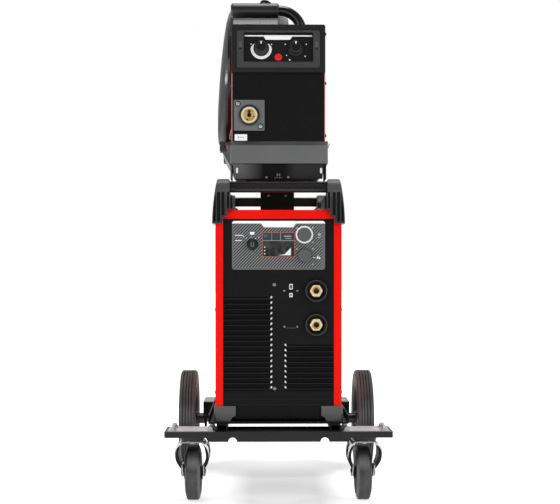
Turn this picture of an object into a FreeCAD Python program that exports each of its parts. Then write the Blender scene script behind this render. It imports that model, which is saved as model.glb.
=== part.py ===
import FreeCAD, Part
import math
import os
from FreeCAD import Vector

# A two-part MIG welder: power source on a four-wheel cart, with a separate wire feeder on top.
# Millimetres. X is the machine's width, -Y its front, +Z up. The origin is on the floor under the middle.

# Clearances
SEAT = 0.3
RUNNING = 0.05
SLIP = 0.3

# Cart
CART_FRONT = -430.0
CART_BACK = 430.0
CART_SHEET = 3.0
CROSS_LENGTH = 512.0
CROSS_DEPTH = 105.0
CROSS_SKIRT = 22.0
CROSS_END_SKIRT = 13.0
CROSS_STEP_X = 160.0
CROSS_STEP_RUN = 6.0
CROSS_CORNER = 8.0
NOTCH_R = 9.6
NOTCH_X = 103.0
RAIL_X = 127.0
RAIL_WIDTH = 24.5
RAIL_HEIGHT = 17.0
TRAY_WIDTH = 316.0
TRAY_FRONT = -420.0
TRAY_BACK = 229.0
TRAY_WALL = 16.0
TRAY_LIP = 1.0

# Front casters
CASTER_HEIGHT = 163.0
CASTER_X = 195.0
CASTER_SETBACK = 52.0
CASTER_TRAIL = 38.0
CASTER_WHEEL_R = 62.5
CASTER_TYRE_WIDTH = 35.0
CASTER_TREAD = 26.6
CASTER_RIM_R = 44.0
CASTER_RIM_WIDTH = 24.0
CASTER_BOSS_R = 14.0
CASTER_BOSS_LENGTH = 35.4
CASTER_AXLE_R = 6.0
CASTER_PLATE_LENGTH = 110.0
CASTER_PLATE_DEPTH = 85.0
CASTER_BOLT_DX = 86.0
CASTER_BOLT_DY = 60.0
CASTER_BOLT_R = 4.0
BOLT_HEAD = 5.3
BOLT_REACH = 4.0
NUT_ACROSS = 13.0
NUT_HEIGHT = 6.5
NUT_TOTAL = 11.5
NUT_DOME_R = 5.6
RACE_R = 28.0
RACE_DEPTH = 8.0
KINGPIN_R = 6.0
FORK_TOP = 142.0
FORK_SHEET = 3.0
FORK_BULGE = 34.0
FORK_SHOULDER = 30.0
FORK_FLANGE = 5.0

# Rear wheels and axle
REAR_WHEEL_R = 130.0
REAR_TYRE_WIDTH = 43.0
REAR_RIM_R = 92.0
REAR_WHEEL_X = 234.0
REAR_AXLE_Y = 150.0
REAR_AXLE_R = 10.0
REAR_BOSS_R = 18.0
REAR_BOSS_LENGTH = 36.0
REAR_BOSS_RECESS = 6.0
REAR_WEB = 8.0
REAR_RIM_WALL = 5.0
REAR_RIBS = 6
REAR_RIB = 5.0
REAR_RIB_INSET = 6.0
AXLE_COLLAR = 4.0
AXLE_CAP = 3.0
TYRE_BEAD = 3.0
TYRE_SIDE = 8.0
TYRE_SHOULDER = 7.0
TREAD_GROOVE = 2.5
TREAD_PITCH = 7.4
BEAM_LENGTH = 386.0
BEAM_FRONT = 68.0
BEAM_BACK = 198.0
BEAM_DEPTH = 34.0
EAR_THICKNESS = 6.0
EAR_R = 22.0

# Gas cylinder shelf and saddle
SHELF_WIDTH = 260.0
SHELF_FLOOR = 126.0
SHELF_LIP = 24.0
CYLINDER_R = 100.0
CYLINDER_Y = 326.0
SADDLE_DROP = 144.0
SADDLE_HEIGHT = 26.0
SADDLE_WIDTH = 200.0
SADDLE_REACH = 60.0

# Power source
SOURCE_FRONT = -390.0
SOURCE_BACK = 220.0
SOURCE_WIDTH = 286.0
SOURCE_SHEET = 1.5
FOOT_HEIGHT = 34.0
FOOT_INNER = 97.0
FOOT_OUTER = 146.0
FOOT_LENGTH = 52.0
FOOT_NOTCH = 11.0
COVER_HEIGHT = 444.0
COVER_SIDE_BAND = 17.5
COVER_TOP_BAND = 20.0
PANEL_INSET = 2.0

# Handle mouldings and bars
END_INNER = 111.0
END_TOP_OUTER = 140.0
END_FOOT_OUTER = 150.0
END_BULGE = 2.2
END_STEP_X = 126.3
END_RETURN_X = 117.0
END_TOE_X = 101.5
END_TOE_RISE = 34.0
END_RISE = 71.0
END_DROP = 31.0
END_PROUD = 10.0
END_LENGTH = 118.0
END_RADIUS = 26.0
GROOVE_RISE = 40.0
GROOVE_WIDTH = 7.0
GROOVE_NARROW = 4.2
GROOVE_FIRST = 14.5
GROOVE_RIB = 2.4
GROOVE_PITCH = 9.9
GROOVE_DEPTH = 6.0
BAR_RISE = 53.5
BAR_HEIGHT = 25.0
BAR_DEPTH = 22.0
BAR_SETBACK = 25.0
BAR_RECESS = 2.5

# Front of the power source
PLATE_WIDTH = 211.0
PLATE_DROP = 25.0
PLATE_HEIGHT = 110.5
PLATE_THICKNESS = 2.5
PLATE_CORNER = 6.0
DISPLAY_WIDTH = 72.0
DISPLAY_DROP = 26.5
DISPLAY_HEIGHT = 54.5
DISPLAY_THICKNESS = 2.0
SELECTOR_X = -59.0
SELECTOR_DROP = 53.5
SELECTOR_R = 13.0
SELECTOR_DEPTH = 17.0
ENCODER_X = 58.6
ENCODER_DROP = 31.0
ENCODER_SPACING = 47.0
ENCODER_R = 15.5
ENCODER_DEPTH = 15.0
KNOB_SHAFT_R = 3.0
SOCKET_X = 85.3
SOCKET_DROP = 48.0
SOCKET_SPACING = 76.7
SOCKET_SHELL_R = 25.3
SOCKET_SHELL_DEPTH = 14.0
SOCKET_WELL_R = 19.5
CONTACT_ACROSS = 25.0
CONTACT_BODY_R = 15.0
CONTACT_BODY = 14.0
CONTACT_BORE_R = 6.6
CONTACT_LENGTH = 34.0
CONTACT_NOSE = 9.0
LOUVRE_PITCH = 12.0
LOUVRE_DROP = 62.5
LOUVRE_RISE = 42.0
LOUVRE_MARGIN = 20.0
LOUVRE_LEFT_END = -16.5
LOUVRE_RIGHT_END = 15.0
LOUVRE_HEIGHT = 8.0
LOUVRE_PROUD = 4.0
LOUVRE_WALL = 1.2

# Inside and rear of the power source
FAN_RISE = 180.0
FAN_R = 58.0
FAN_BLADES = 7
FAN_HUB_R = 20.0
FAN_DEPTH = 22.0
FAN_PIN_R = 4.0
TRANSFORMER_WIDTH = 150.0
TRANSFORMER_LENGTH = 130.0
TRANSFORMER_HEIGHT = 120.0
SWITCH_X = 72.0
SWITCH_DROP = 64.0
SWITCH_R = 22.0
SWITCH_DEPTH = 20.0
GLAND_X = -80.0
GLAND_RISE = 70.0
GLAND_R = 16.0
GLAND_BORE_R = 7.0
GLAND_LENGTH = 26.0

# Pedestal and turntable
PIVOT_Y = -85.0
PEDESTAL_WIDTH = 83.0
PEDESTAL_DEPTH = 120.0
PEDESTAL_HEIGHT = 72.7
PEDESTAL_BRIM = 22.0
PIVOT_R = 15.0
TURNTABLE_HALF = 109.5
TURNTABLE_FLANGE = 90.0
SLOPE_HALF_TOP = 104.0
SLOPE_HALF_FOOT = 101.0
TURNTABLE_HEIGHT = 31.0
TURNTABLE_LEAN = 10.0
TURNTABLE_BACK = 60.0
SLOT_X = 95.0

# Wire feeder
FEEDER_FRONT = -373.0
FEEDER_BACK = 155.0
BASE_LEFT = -110.0
BASE_RIGHT = 113.0
BASE_HEIGHT = 51.0
BASE_BAND = 10.0
BASE_STEP = 7.0
BASE_WALL = 3.0
WING_REACH = 24.0
FLARE_REACH = 11.0
BOX_HALF = 105.0
BOX_HEIGHT = 265.0
BOX_SHEET = 2.0
PARTITION_X = 27.0
DOOR_SHEET = 2.2
DOOR_GAP = 1.0
FASCIA_HEIGHT = 108.0
FASCIA_HALF = 107.0
FASCIA_DEPTH = 8.0
FRAME_PROUD = 4.0
FRAME_HALF = 94.5
FRAME_DROP = 14.0
FRAME_HEIGHT = 84.0
WINDOW_HALF = 79.0
WINDOW_DROP = 18.0
WINDOW_HEIGHT = 67.0
FEEDER_KNOB_X = 39.5
FEEDER_KNOB_DROP = 52.5
FEEDER_KNOB_R = 17.5
FEEDER_KNOB_DEPTH = 20.0
BUTTON_DROP = 74.0
BUTTON_R = 8.6
BUTTON_PROUD = 6.0
TORCH_X = -66.6
TORCH_RISE = 59.0
TORCH_PLATE = 70.0
TORCH_PLATE_THICKNESS = 4.0
TORCH_RING_R = 23.0
TORCH_BRASS_R = 19.2
TORCH_BORE_R = 5.0

# Spool, hood and cover
SPOOL_Y = -60.0
SPOOL_RISE = 197.0
SPOOL_R = 150.0
SPOOL_WIDTH = 103.0
SPOOL_LEFT = -96.0
SPOOL_FLANGE = 3.0
SPOOL_BORE_R = 26.0
SPOOL_CORE_R = 50.0
SPOOL_HOLE_R = 30.0
SPOOL_HOLE_CIRCLE = 92.0
HUB_FLANGE_R = 32.0
HUB_NUT_R = 30.0
HUB_NUT_LENGTH = 12.0
WINDING_R = 128.0
HOOD_R = 168.0
HOOD_WALL = 3.0
SEAM_X = -43.0
HOOD_OVERLAP = 1.5
LUG_WIDTH = 32.5
LUG_RISE = 24.6
LUG_THICKNESS = 22.0
LUG_FORWARD = 70.0
HINGE_X = -134.0
HINGE_RISE = 10.0
HINGE_PIN_R = 2.5
HINGE_ARM_WIDTH = 30.0
HINGE_SPREAD = 146.0

# Wire drive
DRIVE_PLATE_X = -45.0
DRIVE_PLATE_THICKNESS = 6.0
DRIVE_PLATE_LENGTH = 116.0
DRIVE_PLATE_BELOW = 36.0
DRIVE_PLATE_ABOVE = 62.0
POST_R = 5.0
POST_INSET = 12.0
DRIVE_Y = -275.0
ROLL_R = 18.4
ROLL_WIDTH = 12.0
WIRE_GAP = 1.2
WIRE_HOLE_R = 1.2
GUIDE_R = 5.0
GUIDE_REACH = 52.0
ROLL_SHAFT_R = 6.0
MOTOR_R = 31.0
MOTOR_LENGTH = 84.0
GEARBOX_LENGTH = 26.0
ARM_PIVOT_BACK = 43.0
ARM_PIVOT_RISE = 40.0
PIN_R = 4.0
ARM_THICKNESS = 8.0
TENSION_R = 13.0
TENSION_HEIGHT = 36.0
TENSION_GRIP = 22.0

# Carry handle
HANDLE_Y = -280.0
HANDLE_RISE = 52.0
HANDLE_LEG_X = 56.0
HANDLE_TUBE_R = 12.0
HANDLE_TUBE_WALL = 2.0
HANDLE_FOOT_LENGTH = 48.0
HANDLE_FOOT_DEPTH = 40.0
HANDLE_FOOT_THICKNESS = 4.0
GRIP_R = 17.0
GRIP_LEFT = -111.0
GRIP_RIGHT = 2.0
GRIP_END = 5.0

# Levels that follow from the sizes above
CROSS_TOP = CASTER_HEIGHT + CART_SHEET
TRAY_FLOOR = CROSS_TOP + RAIL_HEIGHT
SOURCE_BOTTOM = TRAY_FLOOR + CART_SHEET
COVER_BOTTOM = SOURCE_BOTTOM + FOOT_HEIGHT
COVER_TOP = COVER_BOTTOM + COVER_HEIGHT
COVER_HALF = SOURCE_WIDTH / 2
OPENING_HALF = COVER_HALF - COVER_SIDE_BAND
OPENING_TOP = COVER_TOP - COVER_TOP_BAND
PANEL_FRONT = SOURCE_FRONT + SOURCE_SHEET + PANEL_INSET
PANEL_BACK = SOURCE_BACK - SOURCE_SHEET - PANEL_INSET
SOURCE_MIDDLE = (SOURCE_FRONT + SOURCE_BACK) / 2
CASTER_Y = CART_FRONT + CASTER_SETBACK
CASTER_WHEEL_Y = CASTER_Y + CASTER_TRAIL
TURNTABLE_BOTTOM = COVER_TOP + PEDESTAL_HEIGHT + SEAT
TURNTABLE_TOP = TURNTABLE_BOTTOM + TURNTABLE_HEIGHT
BASE_BOTTOM = TURNTABLE_TOP + CART_SHEET
BOX_BOTTOM = BASE_BOTTOM + BASE_HEIGHT
BOX_FRONT = FEEDER_FRONT + BASE_STEP + 1.0
BOX_BACK = FEEDER_BACK - 5.0
FASCIA_FRONT = BOX_FRONT - FASCIA_DEPTH
SADDLE_Z = COVER_TOP - SADDLE_DROP
END_TOP = COVER_TOP + END_RISE
END_FOOT = COVER_TOP - END_DROP
GROOVE_TOP = COVER_TOP + GROOVE_RISE
BAR_Z = COVER_TOP + BAR_RISE
PLATE_TOP = COVER_TOP - PLATE_DROP
PLATE_BOTTOM = PLATE_TOP - PLATE_HEIGHT
DISPLAY_TOP = PLATE_TOP - DISPLAY_DROP
DISPLAY_BOTTOM = DISPLAY_TOP - DISPLAY_HEIGHT
SELECTOR_Z = PLATE_TOP - SELECTOR_DROP
ENCODER_UPPER_Z = PLATE_TOP - ENCODER_DROP
ENCODER_LOWER_Z = ENCODER_UPPER_Z - ENCODER_SPACING
SOCKET_UPPER_Z = PLATE_BOTTOM - SOCKET_DROP
SOCKET_LOWER_Z = SOCKET_UPPER_Z - SOCKET_SPACING
LOUVRE_TOP = PLATE_BOTTOM - LOUVRE_DROP
LOUVRE_BOTTOM = COVER_BOTTOM + LOUVRE_RISE
LOUVRES_LEFT = 1 + int((LOUVRE_TOP - LOUVRE_BOTTOM) / LOUVRE_PITCH + 0.01)
LOUVRES_RIGHT = 1 + int((SOCKET_LOWER_Z - SOCKET_SHELL_R - LOUVRE_MARGIN - LOUVRE_BOTTOM) / LOUVRE_PITCH)
FAN_Z = COVER_BOTTOM + FAN_RISE
SWITCH_Z = COVER_TOP - SWITCH_DROP
GLAND_Z = COVER_BOTTOM + GLAND_RISE
BOX_TOP = BOX_BOTTOM + BOX_HEIGHT
FASCIA_BOTTOM = BOX_TOP - FASCIA_HEIGHT
FRAME_TOP = BOX_TOP - FRAME_DROP
FRAME_BOTTOM = FRAME_TOP - FRAME_HEIGHT
WINDOW_TOP = BOX_TOP - WINDOW_DROP
WINDOW_BOTTOM = WINDOW_TOP - WINDOW_HEIGHT
FEEDER_KNOB_Z = BOX_TOP - FEEDER_KNOB_DROP
BUTTON_Z = BOX_TOP - BUTTON_DROP
TORCH_Z = BOX_BOTTOM + TORCH_RISE
SPOOL_Z = BOX_BOTTOM + SPOOL_RISE
HINGE_Z = BOX_BOTTOM + HINGE_RISE
HANDLE_Z = BOX_TOP + HANDLE_RISE


def box(x, y, z):
    """A block from three (low, high) pairs."""
    return Part.makeBox(x[1] - x[0], y[1] - y[0], z[1] - z[0], Vector(x[0], y[0], z[0]))


def both(low_high):
    """The same size each side of zero."""
    return (-low_high, low_high)


def rod_x(y, z, r, x0, x1):
    return Part.makeCylinder(r, x1 - x0, Vector(x0, y, z), Vector(1, 0, 0))


def rod_y(x, z, r, y0, y1):
    return Part.makeCylinder(r, y1 - y0, Vector(x, y0, z), Vector(0, 1, 0))


def rod_z(x, y, r, z0, z1):
    return Part.makeCylinder(r, z1 - z0, Vector(x, y, z0), Vector(0, 0, 1))


def outline(place, start, steps):
    """A closed face: each step is a point, or a pair (middle, end) for an arc."""
    edges = []
    here = start
    for step in steps:
        if isinstance(step[0], tuple):
            middle, end = step
            edges.append(Part.Arc(place(*here), place(*middle), place(*end)).toShape())
        else:
            end = step
            edges.append(Part.makeLine(place(*here), place(*end)))
        here = end
    if here != start:
        edges.append(Part.makeLine(place(*here), place(*start)))
    return Part.Face(Part.Wire(edges))


def prism_x(start, steps, x0, x1):
    """A (y, z) outline carried along X."""
    face = outline(lambda a, b: Vector(x0, a, b), start, steps)
    return face.extrude(Vector(x1 - x0, 0, 0))


def prism_y(start, steps, y0, y1):
    """An (x, z) outline carried along Y."""
    face = outline(lambda a, b: Vector(a, y0, b), start, steps)
    return face.extrude(Vector(0, y1 - y0, 0))


def prism_z(start, steps, z0, z1):
    """An (x, y) outline carried along Z."""
    face = outline(lambda a, b: Vector(a, b, z0), start, steps)
    return face.extrude(Vector(0, 0, z1 - z0))


def turned_x(start, steps, x, y, z):
    """An (x, radius) outline turned about an axis along X."""
    face = outline(lambda a, r: Vector(a, r, 0), start, steps)
    solid = face.revolve(Vector(0, 0, 0), Vector(1, 0, 0), 360)
    solid.translate(Vector(x, y, z))
    return solid


def turned_y(start, steps, x, y, z):
    """A (y, radius) outline turned about an axis along Y."""
    face = outline(lambda a, r: Vector(r, a, 0), start, steps)
    solid = face.revolve(Vector(0, 0, 0), Vector(0, 1, 0), 360)
    solid.translate(Vector(x, y, z))
    return solid


def mirror_x(shape):
    return shape.mirror(Vector(0, 0, 0), Vector(1, 0, 0))


def mirror_y(shape, y):
    return shape.mirror(Vector(0, y, 0), Vector(0, 1, 0))


def pair_x(shape):
    """A piece and its mirror image across the machine's middle."""
    return Part.Compound([shape, mirror_x(shape)])


def hexagon_y(x, z, across, y0, y1):
    """A hexagonal bar along Y with two flats level."""
    r = across / math.sqrt(3)
    points = [(x + r * math.cos(k * math.pi / 3), z + r * math.sin(k * math.pi / 3)) for k in range(6)]
    return prism_y(points[0], points[1:], y0, y1)


def hexagon_z(x, y, across, z0, z1):
    r = across / math.sqrt(3)
    points = [(x + r * math.cos(k * math.pi / 3), y + r * math.sin(k * math.pi / 3)) for k in range(6)]
    return prism_z(points[0], points[1:], z0, z1)


def joined(first, *others):
    """One solid from pieces that are welded or moulded together."""
    return first.fuse(list(others)).removeSplitter()


def rounded(shape, r, wanted):
    """Round the straight edges that pass a test on their direction and middle."""
    chosen = []
    for edge in shape.Edges:
        if edge.Curve.TypeId != "Part::GeomLine":
            continue
        middle = edge.valueAt((edge.FirstParameter + edge.LastParameter) / 2)
        if wanted(edge.tangentAt(edge.FirstParameter), middle):
            chosen.append(edge)
    return shape.makeFillet(r, chosen)


def along_x(direction, middle):
    return abs(direction.x) > 0.99


def along_y(direction, middle):
    return abs(direction.y) > 0.99


def along_z(direction, middle):
    return abs(direction.z) > 0.99


# Front crossmember: a folded channel, open below, whose skirts are cut shallower over the casters
def front_crossmember():
    half = CROSS_LENGTH / 2
    low = CROSS_TOP - CROSS_SKIRT
    end_low = CROSS_TOP - CROSS_END_SKIRT
    step_out = CROSS_STEP_X + CROSS_STEP_RUN / 2
    step_in = CROSS_STEP_X - CROSS_STEP_RUN / 2
    y0 = CART_FRONT
    y1 = CART_FRONT + CROSS_DEPTH
    body = prism_y(
        (-half, CROSS_TOP),
        [(half, CROSS_TOP), (half, end_low), (step_out, end_low), (step_in, low),
         (-step_in, low), (-step_out, end_low), (-half, end_low)], y0, y1)
    body = rounded(body, CROSS_CORNER, lambda d, m: along_z(d, m) and abs(m.x) > half - 1)
    inner_half = half - CART_SHEET
    pocket = box(both(inner_half), (y0 + CART_SHEET, y1 - CART_SHEET), (low - 1, CROSS_TOP - CART_SHEET))
    body = body.cut(rounded(pocket, CROSS_CORNER - CART_SHEET, along_z))
    for side in (-1, 1):
        body = body.cut(rod_y(side * NOTCH_X, low, NOTCH_R, y0 - 1, y1 + 1))
    return body.cut(caster_bolt_holes(CROSS_TOP - CART_SHEET - 1, CROSS_TOP + 1))


def caster_bolt_places():
    for side in (-1, 1):
        for dx in (-1, 1):
            for dy in (-1, 1):
                yield side * CASTER_X + dx * CASTER_BOLT_DX / 2, CASTER_Y + dy * CASTER_BOLT_DY / 2


def caster_bolt_holes(z0, z1):
    return [rod_z(x, y, CASTER_BOLT_R + SLIP, z0, z1) for x, y in caster_bolt_places()]


# Two rectangular tubes that carry the tray from the crossmember back to the axle beam
def chassis_rails():
    low = RAIL_X - RAIL_WIDTH / 2
    high = RAIL_X + RAIL_WIDTH / 2
    y = (CART_FRONT + 5, BEAM_FRONT)
    tube = rounded(box((low, high), y, (CROSS_TOP, TRAY_FLOOR)), 3, along_y)
    wall = CART_SHEET
    bore = box((low + wall, high - wall), (y[0] - 1, y[1] + 1), (CROSS_TOP + wall, TRAY_FLOOR - wall))
    return pair_x(tube.cut(bore))


# Folded tray that the power source stands in: side and back walls, low lip at the front
def machine_tray():
    half = TRAY_WIDTH / 2
    top = SOURCE_BOTTOM + TRAY_WALL
    tray = box(both(half), (TRAY_FRONT, TRAY_BACK), (TRAY_FLOOR, top))
    tray = rounded(tray, 5, along_z)
    hollow = box(both(half - CART_SHEET), (TRAY_FRONT + CART_SHEET, TRAY_BACK - CART_SHEET),
                 (SOURCE_BOTTOM, top + 1))
    front_gap = box(both(half + 1), (TRAY_FRONT - 1, TRAY_FRONT + CART_SHEET + 1),
                    (SOURCE_BOTTOM + TRAY_LIP, top + 1))
    back_gap = box(both(half - 24), (TRAY_BACK - CART_SHEET - 1, TRAY_BACK + 1),
                   (SOURCE_BOTTOM + TRAY_LIP, top + 1))
    return tray.cut([hollow, front_gap, back_gap])


# Rear axle beam: channel with a welded ear at each end that reaches down round the axle
def rear_axle_beam():
    half = BEAM_LENGTH / 2
    low = TRAY_FLOOR - BEAM_DEPTH
    beam = box(both(half), (BEAM_FRONT, BEAM_BACK), (low, TRAY_FLOOR))
    beam = rounded(beam, 5, lambda d, m: along_x(d, m) and m.z > low + 1)
    wall = CART_SHEET
    pocket = box(both(half - EAR_THICKNESS), (BEAM_FRONT + wall, BEAM_BACK - wall),
                 (low - 1, TRAY_FLOOR - wall))
    beam = beam.cut(pocket)
    ears = []
    foot = REAR_WHEEL_R - EAR_R
    for side in (-1, 1):
        x0, x1 = sorted((side * half, side * (half - EAR_THICKNESS)))
        ears.append(prism_x(
            (BEAM_FRONT, low + 2),
            [(REAR_AXLE_Y - EAR_R, REAR_WHEEL_R),
             ((REAR_AXLE_Y, foot), (REAR_AXLE_Y + EAR_R, REAR_WHEEL_R)),
             (BEAM_BACK, low + 2)], x0, x1))
    beam = joined(beam, *ears)
    return beam.cut(rod_x(REAR_AXLE_Y, REAR_WHEEL_R, REAR_AXLE_R + RUNNING, -half - 1, half + 1))


# Solid axle with a collar from each ear to the wheel's boss and a cap outside each wheel
def rear_axle():
    beam_end = BEAM_LENGTH / 2 + SEAT
    boss_inner, boss_outer = rear_boss_span()
    collar_end = boss_inner - SEAT
    cap_start = boss_outer + SEAT
    end = REAR_WHEEL_X + REAR_TYRE_WIDTH / 2 - SEAT
    r = REAR_AXLE_R
    collar = r + AXLE_COLLAR
    cap = r + AXLE_CAP
    steps = [(-end, cap), (-cap_start, cap), (-cap_start, r), (-collar_end, r), (-collar_end, collar),
             (-beam_end, collar), (-beam_end, r), (beam_end, r), (beam_end, collar), (collar_end, collar),
             (collar_end, r), (cap_start, r), (cap_start, cap), (end, cap), (end, 0)]
    return turned_x((-end, 0), steps, 0, REAR_AXLE_Y, REAR_WHEEL_R)


def rear_boss_span():
    """Inner and outer end of a rear wheel's boss along X."""
    outer = REAR_WHEEL_X + REAR_TYRE_WIDTH / 2 - REAR_BOSS_RECESS
    return outer - REAR_BOSS_LENGTH, outer


# Rear wheel centre: rim, dished web with ribs, and a long boss
def rear_rim():
    boss_inner, boss_outer = rear_boss_span()
    inner = boss_inner - REAR_WHEEL_X
    outer = boss_outer - REAR_WHEEL_X
    bore = REAR_AXLE_R + RUNNING
    half = REAR_TYRE_WIDTH / 2 - TYRE_BEAD
    web = REAR_WEB / 2
    root = REAR_BOSS_R + web
    lip = REAR_RIM_R - REAR_RIM_WALL
    steps = [(outer, bore), (outer, REAR_BOSS_R), (web, root), (web, lip - web), (half, lip),
             (half, REAR_RIM_R),
             (-half, REAR_RIM_R), (-half, lip), (-web, lip - web), (-web, root), (inner, REAR_BOSS_R)]
    rim = turned_x((inner, bore), steps, REAR_WHEEL_X, REAR_AXLE_Y, REAR_WHEEL_R)
    ribs = []
    x = (REAR_WHEEL_X - half + REAR_RIB_INSET, REAR_WHEEL_X + half - REAR_RIB_INSET)
    for k in range(REAR_RIBS):
        rib = box(x, both(REAR_RIB / 2), (REAR_BOSS_R - 2, lip + 1))
        rib.rotate(Vector(0, 0, 0), Vector(1, 0, 0), 360 * (k + 0.5) / REAR_RIBS)
        rib.translate(Vector(0, REAR_AXLE_Y, REAR_WHEEL_R))
        ribs.append(rib)
    return joined(rim, *ribs)


# Solid rubber tyre with four grooves round the tread
def rear_tyre():
    half = REAR_TYRE_WIDTH / 2
    tread = REAR_WHEEL_R
    shoulder = TYRE_SHOULDER
    bead = half - TYRE_BEAD
    side = REAR_RIM_R + TYRE_SIDE
    steps = [(bead, REAR_RIM_R), (half, side), (half, tread - shoulder),
             ((half - shoulder * 0.3, tread - shoulder * 0.3), (half - shoulder, tread))]
    for k in (1.5, 0.5, -0.5, -1.5):
        x = k * TREAD_PITCH
        steps += [(x + TREAD_GROOVE / 2, tread), (x, tread - TREAD_GROOVE), (x - TREAD_GROOVE / 2, tread)]
    steps += [(-half + shoulder, tread),
              ((-half + shoulder * 0.3, tread - shoulder * 0.3), (-half, tread - shoulder)),
              (-half, side), (-bead, REAR_RIM_R)]
    return turned_x((-bead, REAR_RIM_R), steps, REAR_WHEEL_X, REAR_AXLE_Y, REAR_WHEEL_R)


# Shelf for the gas cylinder: a shallow tray hung on the back of the axle beam
def cylinder_shelf():
    half = SHELF_WIDTH / 2
    top = SHELF_FLOOR + SHELF_LIP
    front = BEAM_BACK
    tray = rounded(box(both(half), (front, CART_BACK), (SHELF_FLOOR, top)), 12,
                   lambda d, m: along_z(d, m) and m.y > front + 1)
    wall = CART_SHEET
    hollow = box(both(half - wall), (front + wall, CART_BACK - wall), (SHELF_FLOOR + wall, top + 1))
    hollow = rounded(hollow, 12 - wall, lambda d, m: along_z(d, m) and m.y > front + wall + 1)
    upstand = box(both(half), (front, front + wall), (top - 1, TRAY_FLOOR))
    return joined(tray.cut(hollow), upstand)


# Curved bracket on the back panel that the cylinder leans into
def cylinder_saddle():
    half = SADDLE_WIDTH / 2
    z = (SADDLE_Z, SADDLE_Z + SADDLE_HEIGHT)
    back = SOURCE_BACK + SADDLE_REACH
    wall = CART_SHEET
    block = rounded(box(both(half), (PANEL_BACK, back), z), 8, lambda d, m: along_z(d, m) and m.y > back - 1)
    hollow = rod_z(0, CYLINDER_Y, CYLINDER_R + SLIP, z[0] - 1, z[1] + 1)
    pocket = box(both(half - wall), (PANEL_BACK + wall, back), (z[0] - 1, z[1] - wall))
    lip = rod_z(0, CYLINDER_Y, CYLINDER_R + SLIP + wall, z[0], z[1])
    return block.cut(pocket).fuse(block.common(lip)).removeSplitter().cut(hollow)


# Caster top plate with the upper ball race and the riveted kingpin
def caster_plate():
    z1 = CROSS_TOP - CART_SHEET
    z0 = z1 - FORK_SHEET
    x = (CASTER_X - CASTER_PLATE_LENGTH / 2, CASTER_X + CASTER_PLATE_LENGTH / 2)
    y = (CASTER_Y - CASTER_PLATE_DEPTH / 2, CASTER_Y + CASTER_PLATE_DEPTH / 2)
    plate = rounded(box(x, y, (z0, z1)), 8, along_z)
    race = rod_z(CASTER_X, CASTER_Y, RACE_R + 4, z0 - RACE_DEPTH, z0)
    pin = rod_z(CASTER_X, CASTER_Y, KINGPIN_R, FORK_TOP - FORK_SHEET - SEAT, z0)
    head = rod_z(CASTER_X, CASTER_Y, KINGPIN_R + 5, FORK_TOP - FORK_SHEET - SEAT - 5,
                 FORK_TOP - FORK_SHEET - SEAT)
    holes = caster_bolt_holes(z0 - 1, z1 + 1)
    return joined(plate.cut(holes), race, pin, head)


# Bolts up through the plate and the channel, with domed cap nuts on top
def cart_bolts():
    pieces = []
    under = CROSS_TOP - CART_SHEET - FORK_SHEET
    end = CROSS_TOP + BOLT_REACH
    crown = CROSS_TOP + NUT_TOTAL
    for x, y in caster_bolt_places():
        head = hexagon_z(x, y, NUT_ACROSS, under - BOLT_HEAD, under)
        shank = rod_z(x, y, CASTER_BOLT_R, under - 1, end)
        pieces.append(joined(head, shank))
        nut = hexagon_z(x, y, NUT_ACROSS, CROSS_TOP, CROSS_TOP + NUT_HEIGHT)
        dome = rod_z(x, y, NUT_DOME_R, CROSS_TOP + NUT_HEIGHT - 0.5, crown)
        dome = dome.makeFillet(NUT_DOME_R * 0.7, [e for e in dome.Edges if e.BoundBox.ZMin > crown - 0.5])
        well = rod_z(x, y, CASTER_BOLT_R + RUNNING, CROSS_TOP - 1, end + SEAT)
        pieces.append(joined(nut, dome).cut(well))
    return Part.Compound(pieces)


# Stamped fork: a bowed strip from leg to leg over the crown, cut to the side outline, with turned-out edges
def fork_strip(thickness):
    foot = CASTER_BOSS_LENGTH / 2 + SEAT
    low = CASTER_WHEEL_R - CASTER_BOSS_R - 3
    knee = CASTER_WHEEL_R + CASTER_AXLE_R + 5
    middle = (knee + FORK_TOP) / 2
    shoulder = FORK_TOP - 7
    out = thickness
    top = FORK_TOP - FORK_SHEET + thickness
    inside_bulge = FORK_BULGE - FORK_SHEET
    inside_shoulder = FORK_SHOULDER - FORK_SHEET
    steps = [((inside_bulge + out, middle), (inside_shoulder + out, shoulder)),
             (inside_shoulder - 6 + out, top), (-inside_shoulder + 6 - out, top),
             (-inside_shoulder - out, shoulder),
             ((-inside_bulge - out, middle), (-foot - out, knee)), (-foot - out, low), (-foot, low),
             (-foot, knee),
             ((-inside_bulge, middle), (-inside_shoulder, shoulder - 3)),
             (-inside_shoulder + 6, FORK_TOP - FORK_SHEET), (inside_shoulder - 6, FORK_TOP - FORK_SHEET),
             (inside_shoulder, shoulder - 3), ((inside_bulge, middle), (foot, knee)), (foot, low),
             (foot + out, low)]
    return prism_y((foot + out, knee), steps, -80, 80)


def fork_side():
    """The fork seen from the side: wide at the crown, tapering back to the axle."""
    r = CASTER_BOSS_R + 2
    top = FORK_TOP + FORK_FLANGE + 1
    axle = CASTER_WHEEL_R
    crown = RACE_R + 7
    return prism_x(
        (-crown, top),
        [(-crown, FORK_TOP - 22), (CASTER_TRAIL - r, axle),
         ((CASTER_TRAIL, axle - r), (CASTER_TRAIL + r, axle)),
         (CASTER_TRAIL + r - 4, FORK_TOP - 30), (crown, top)], -60, 60)


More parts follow.
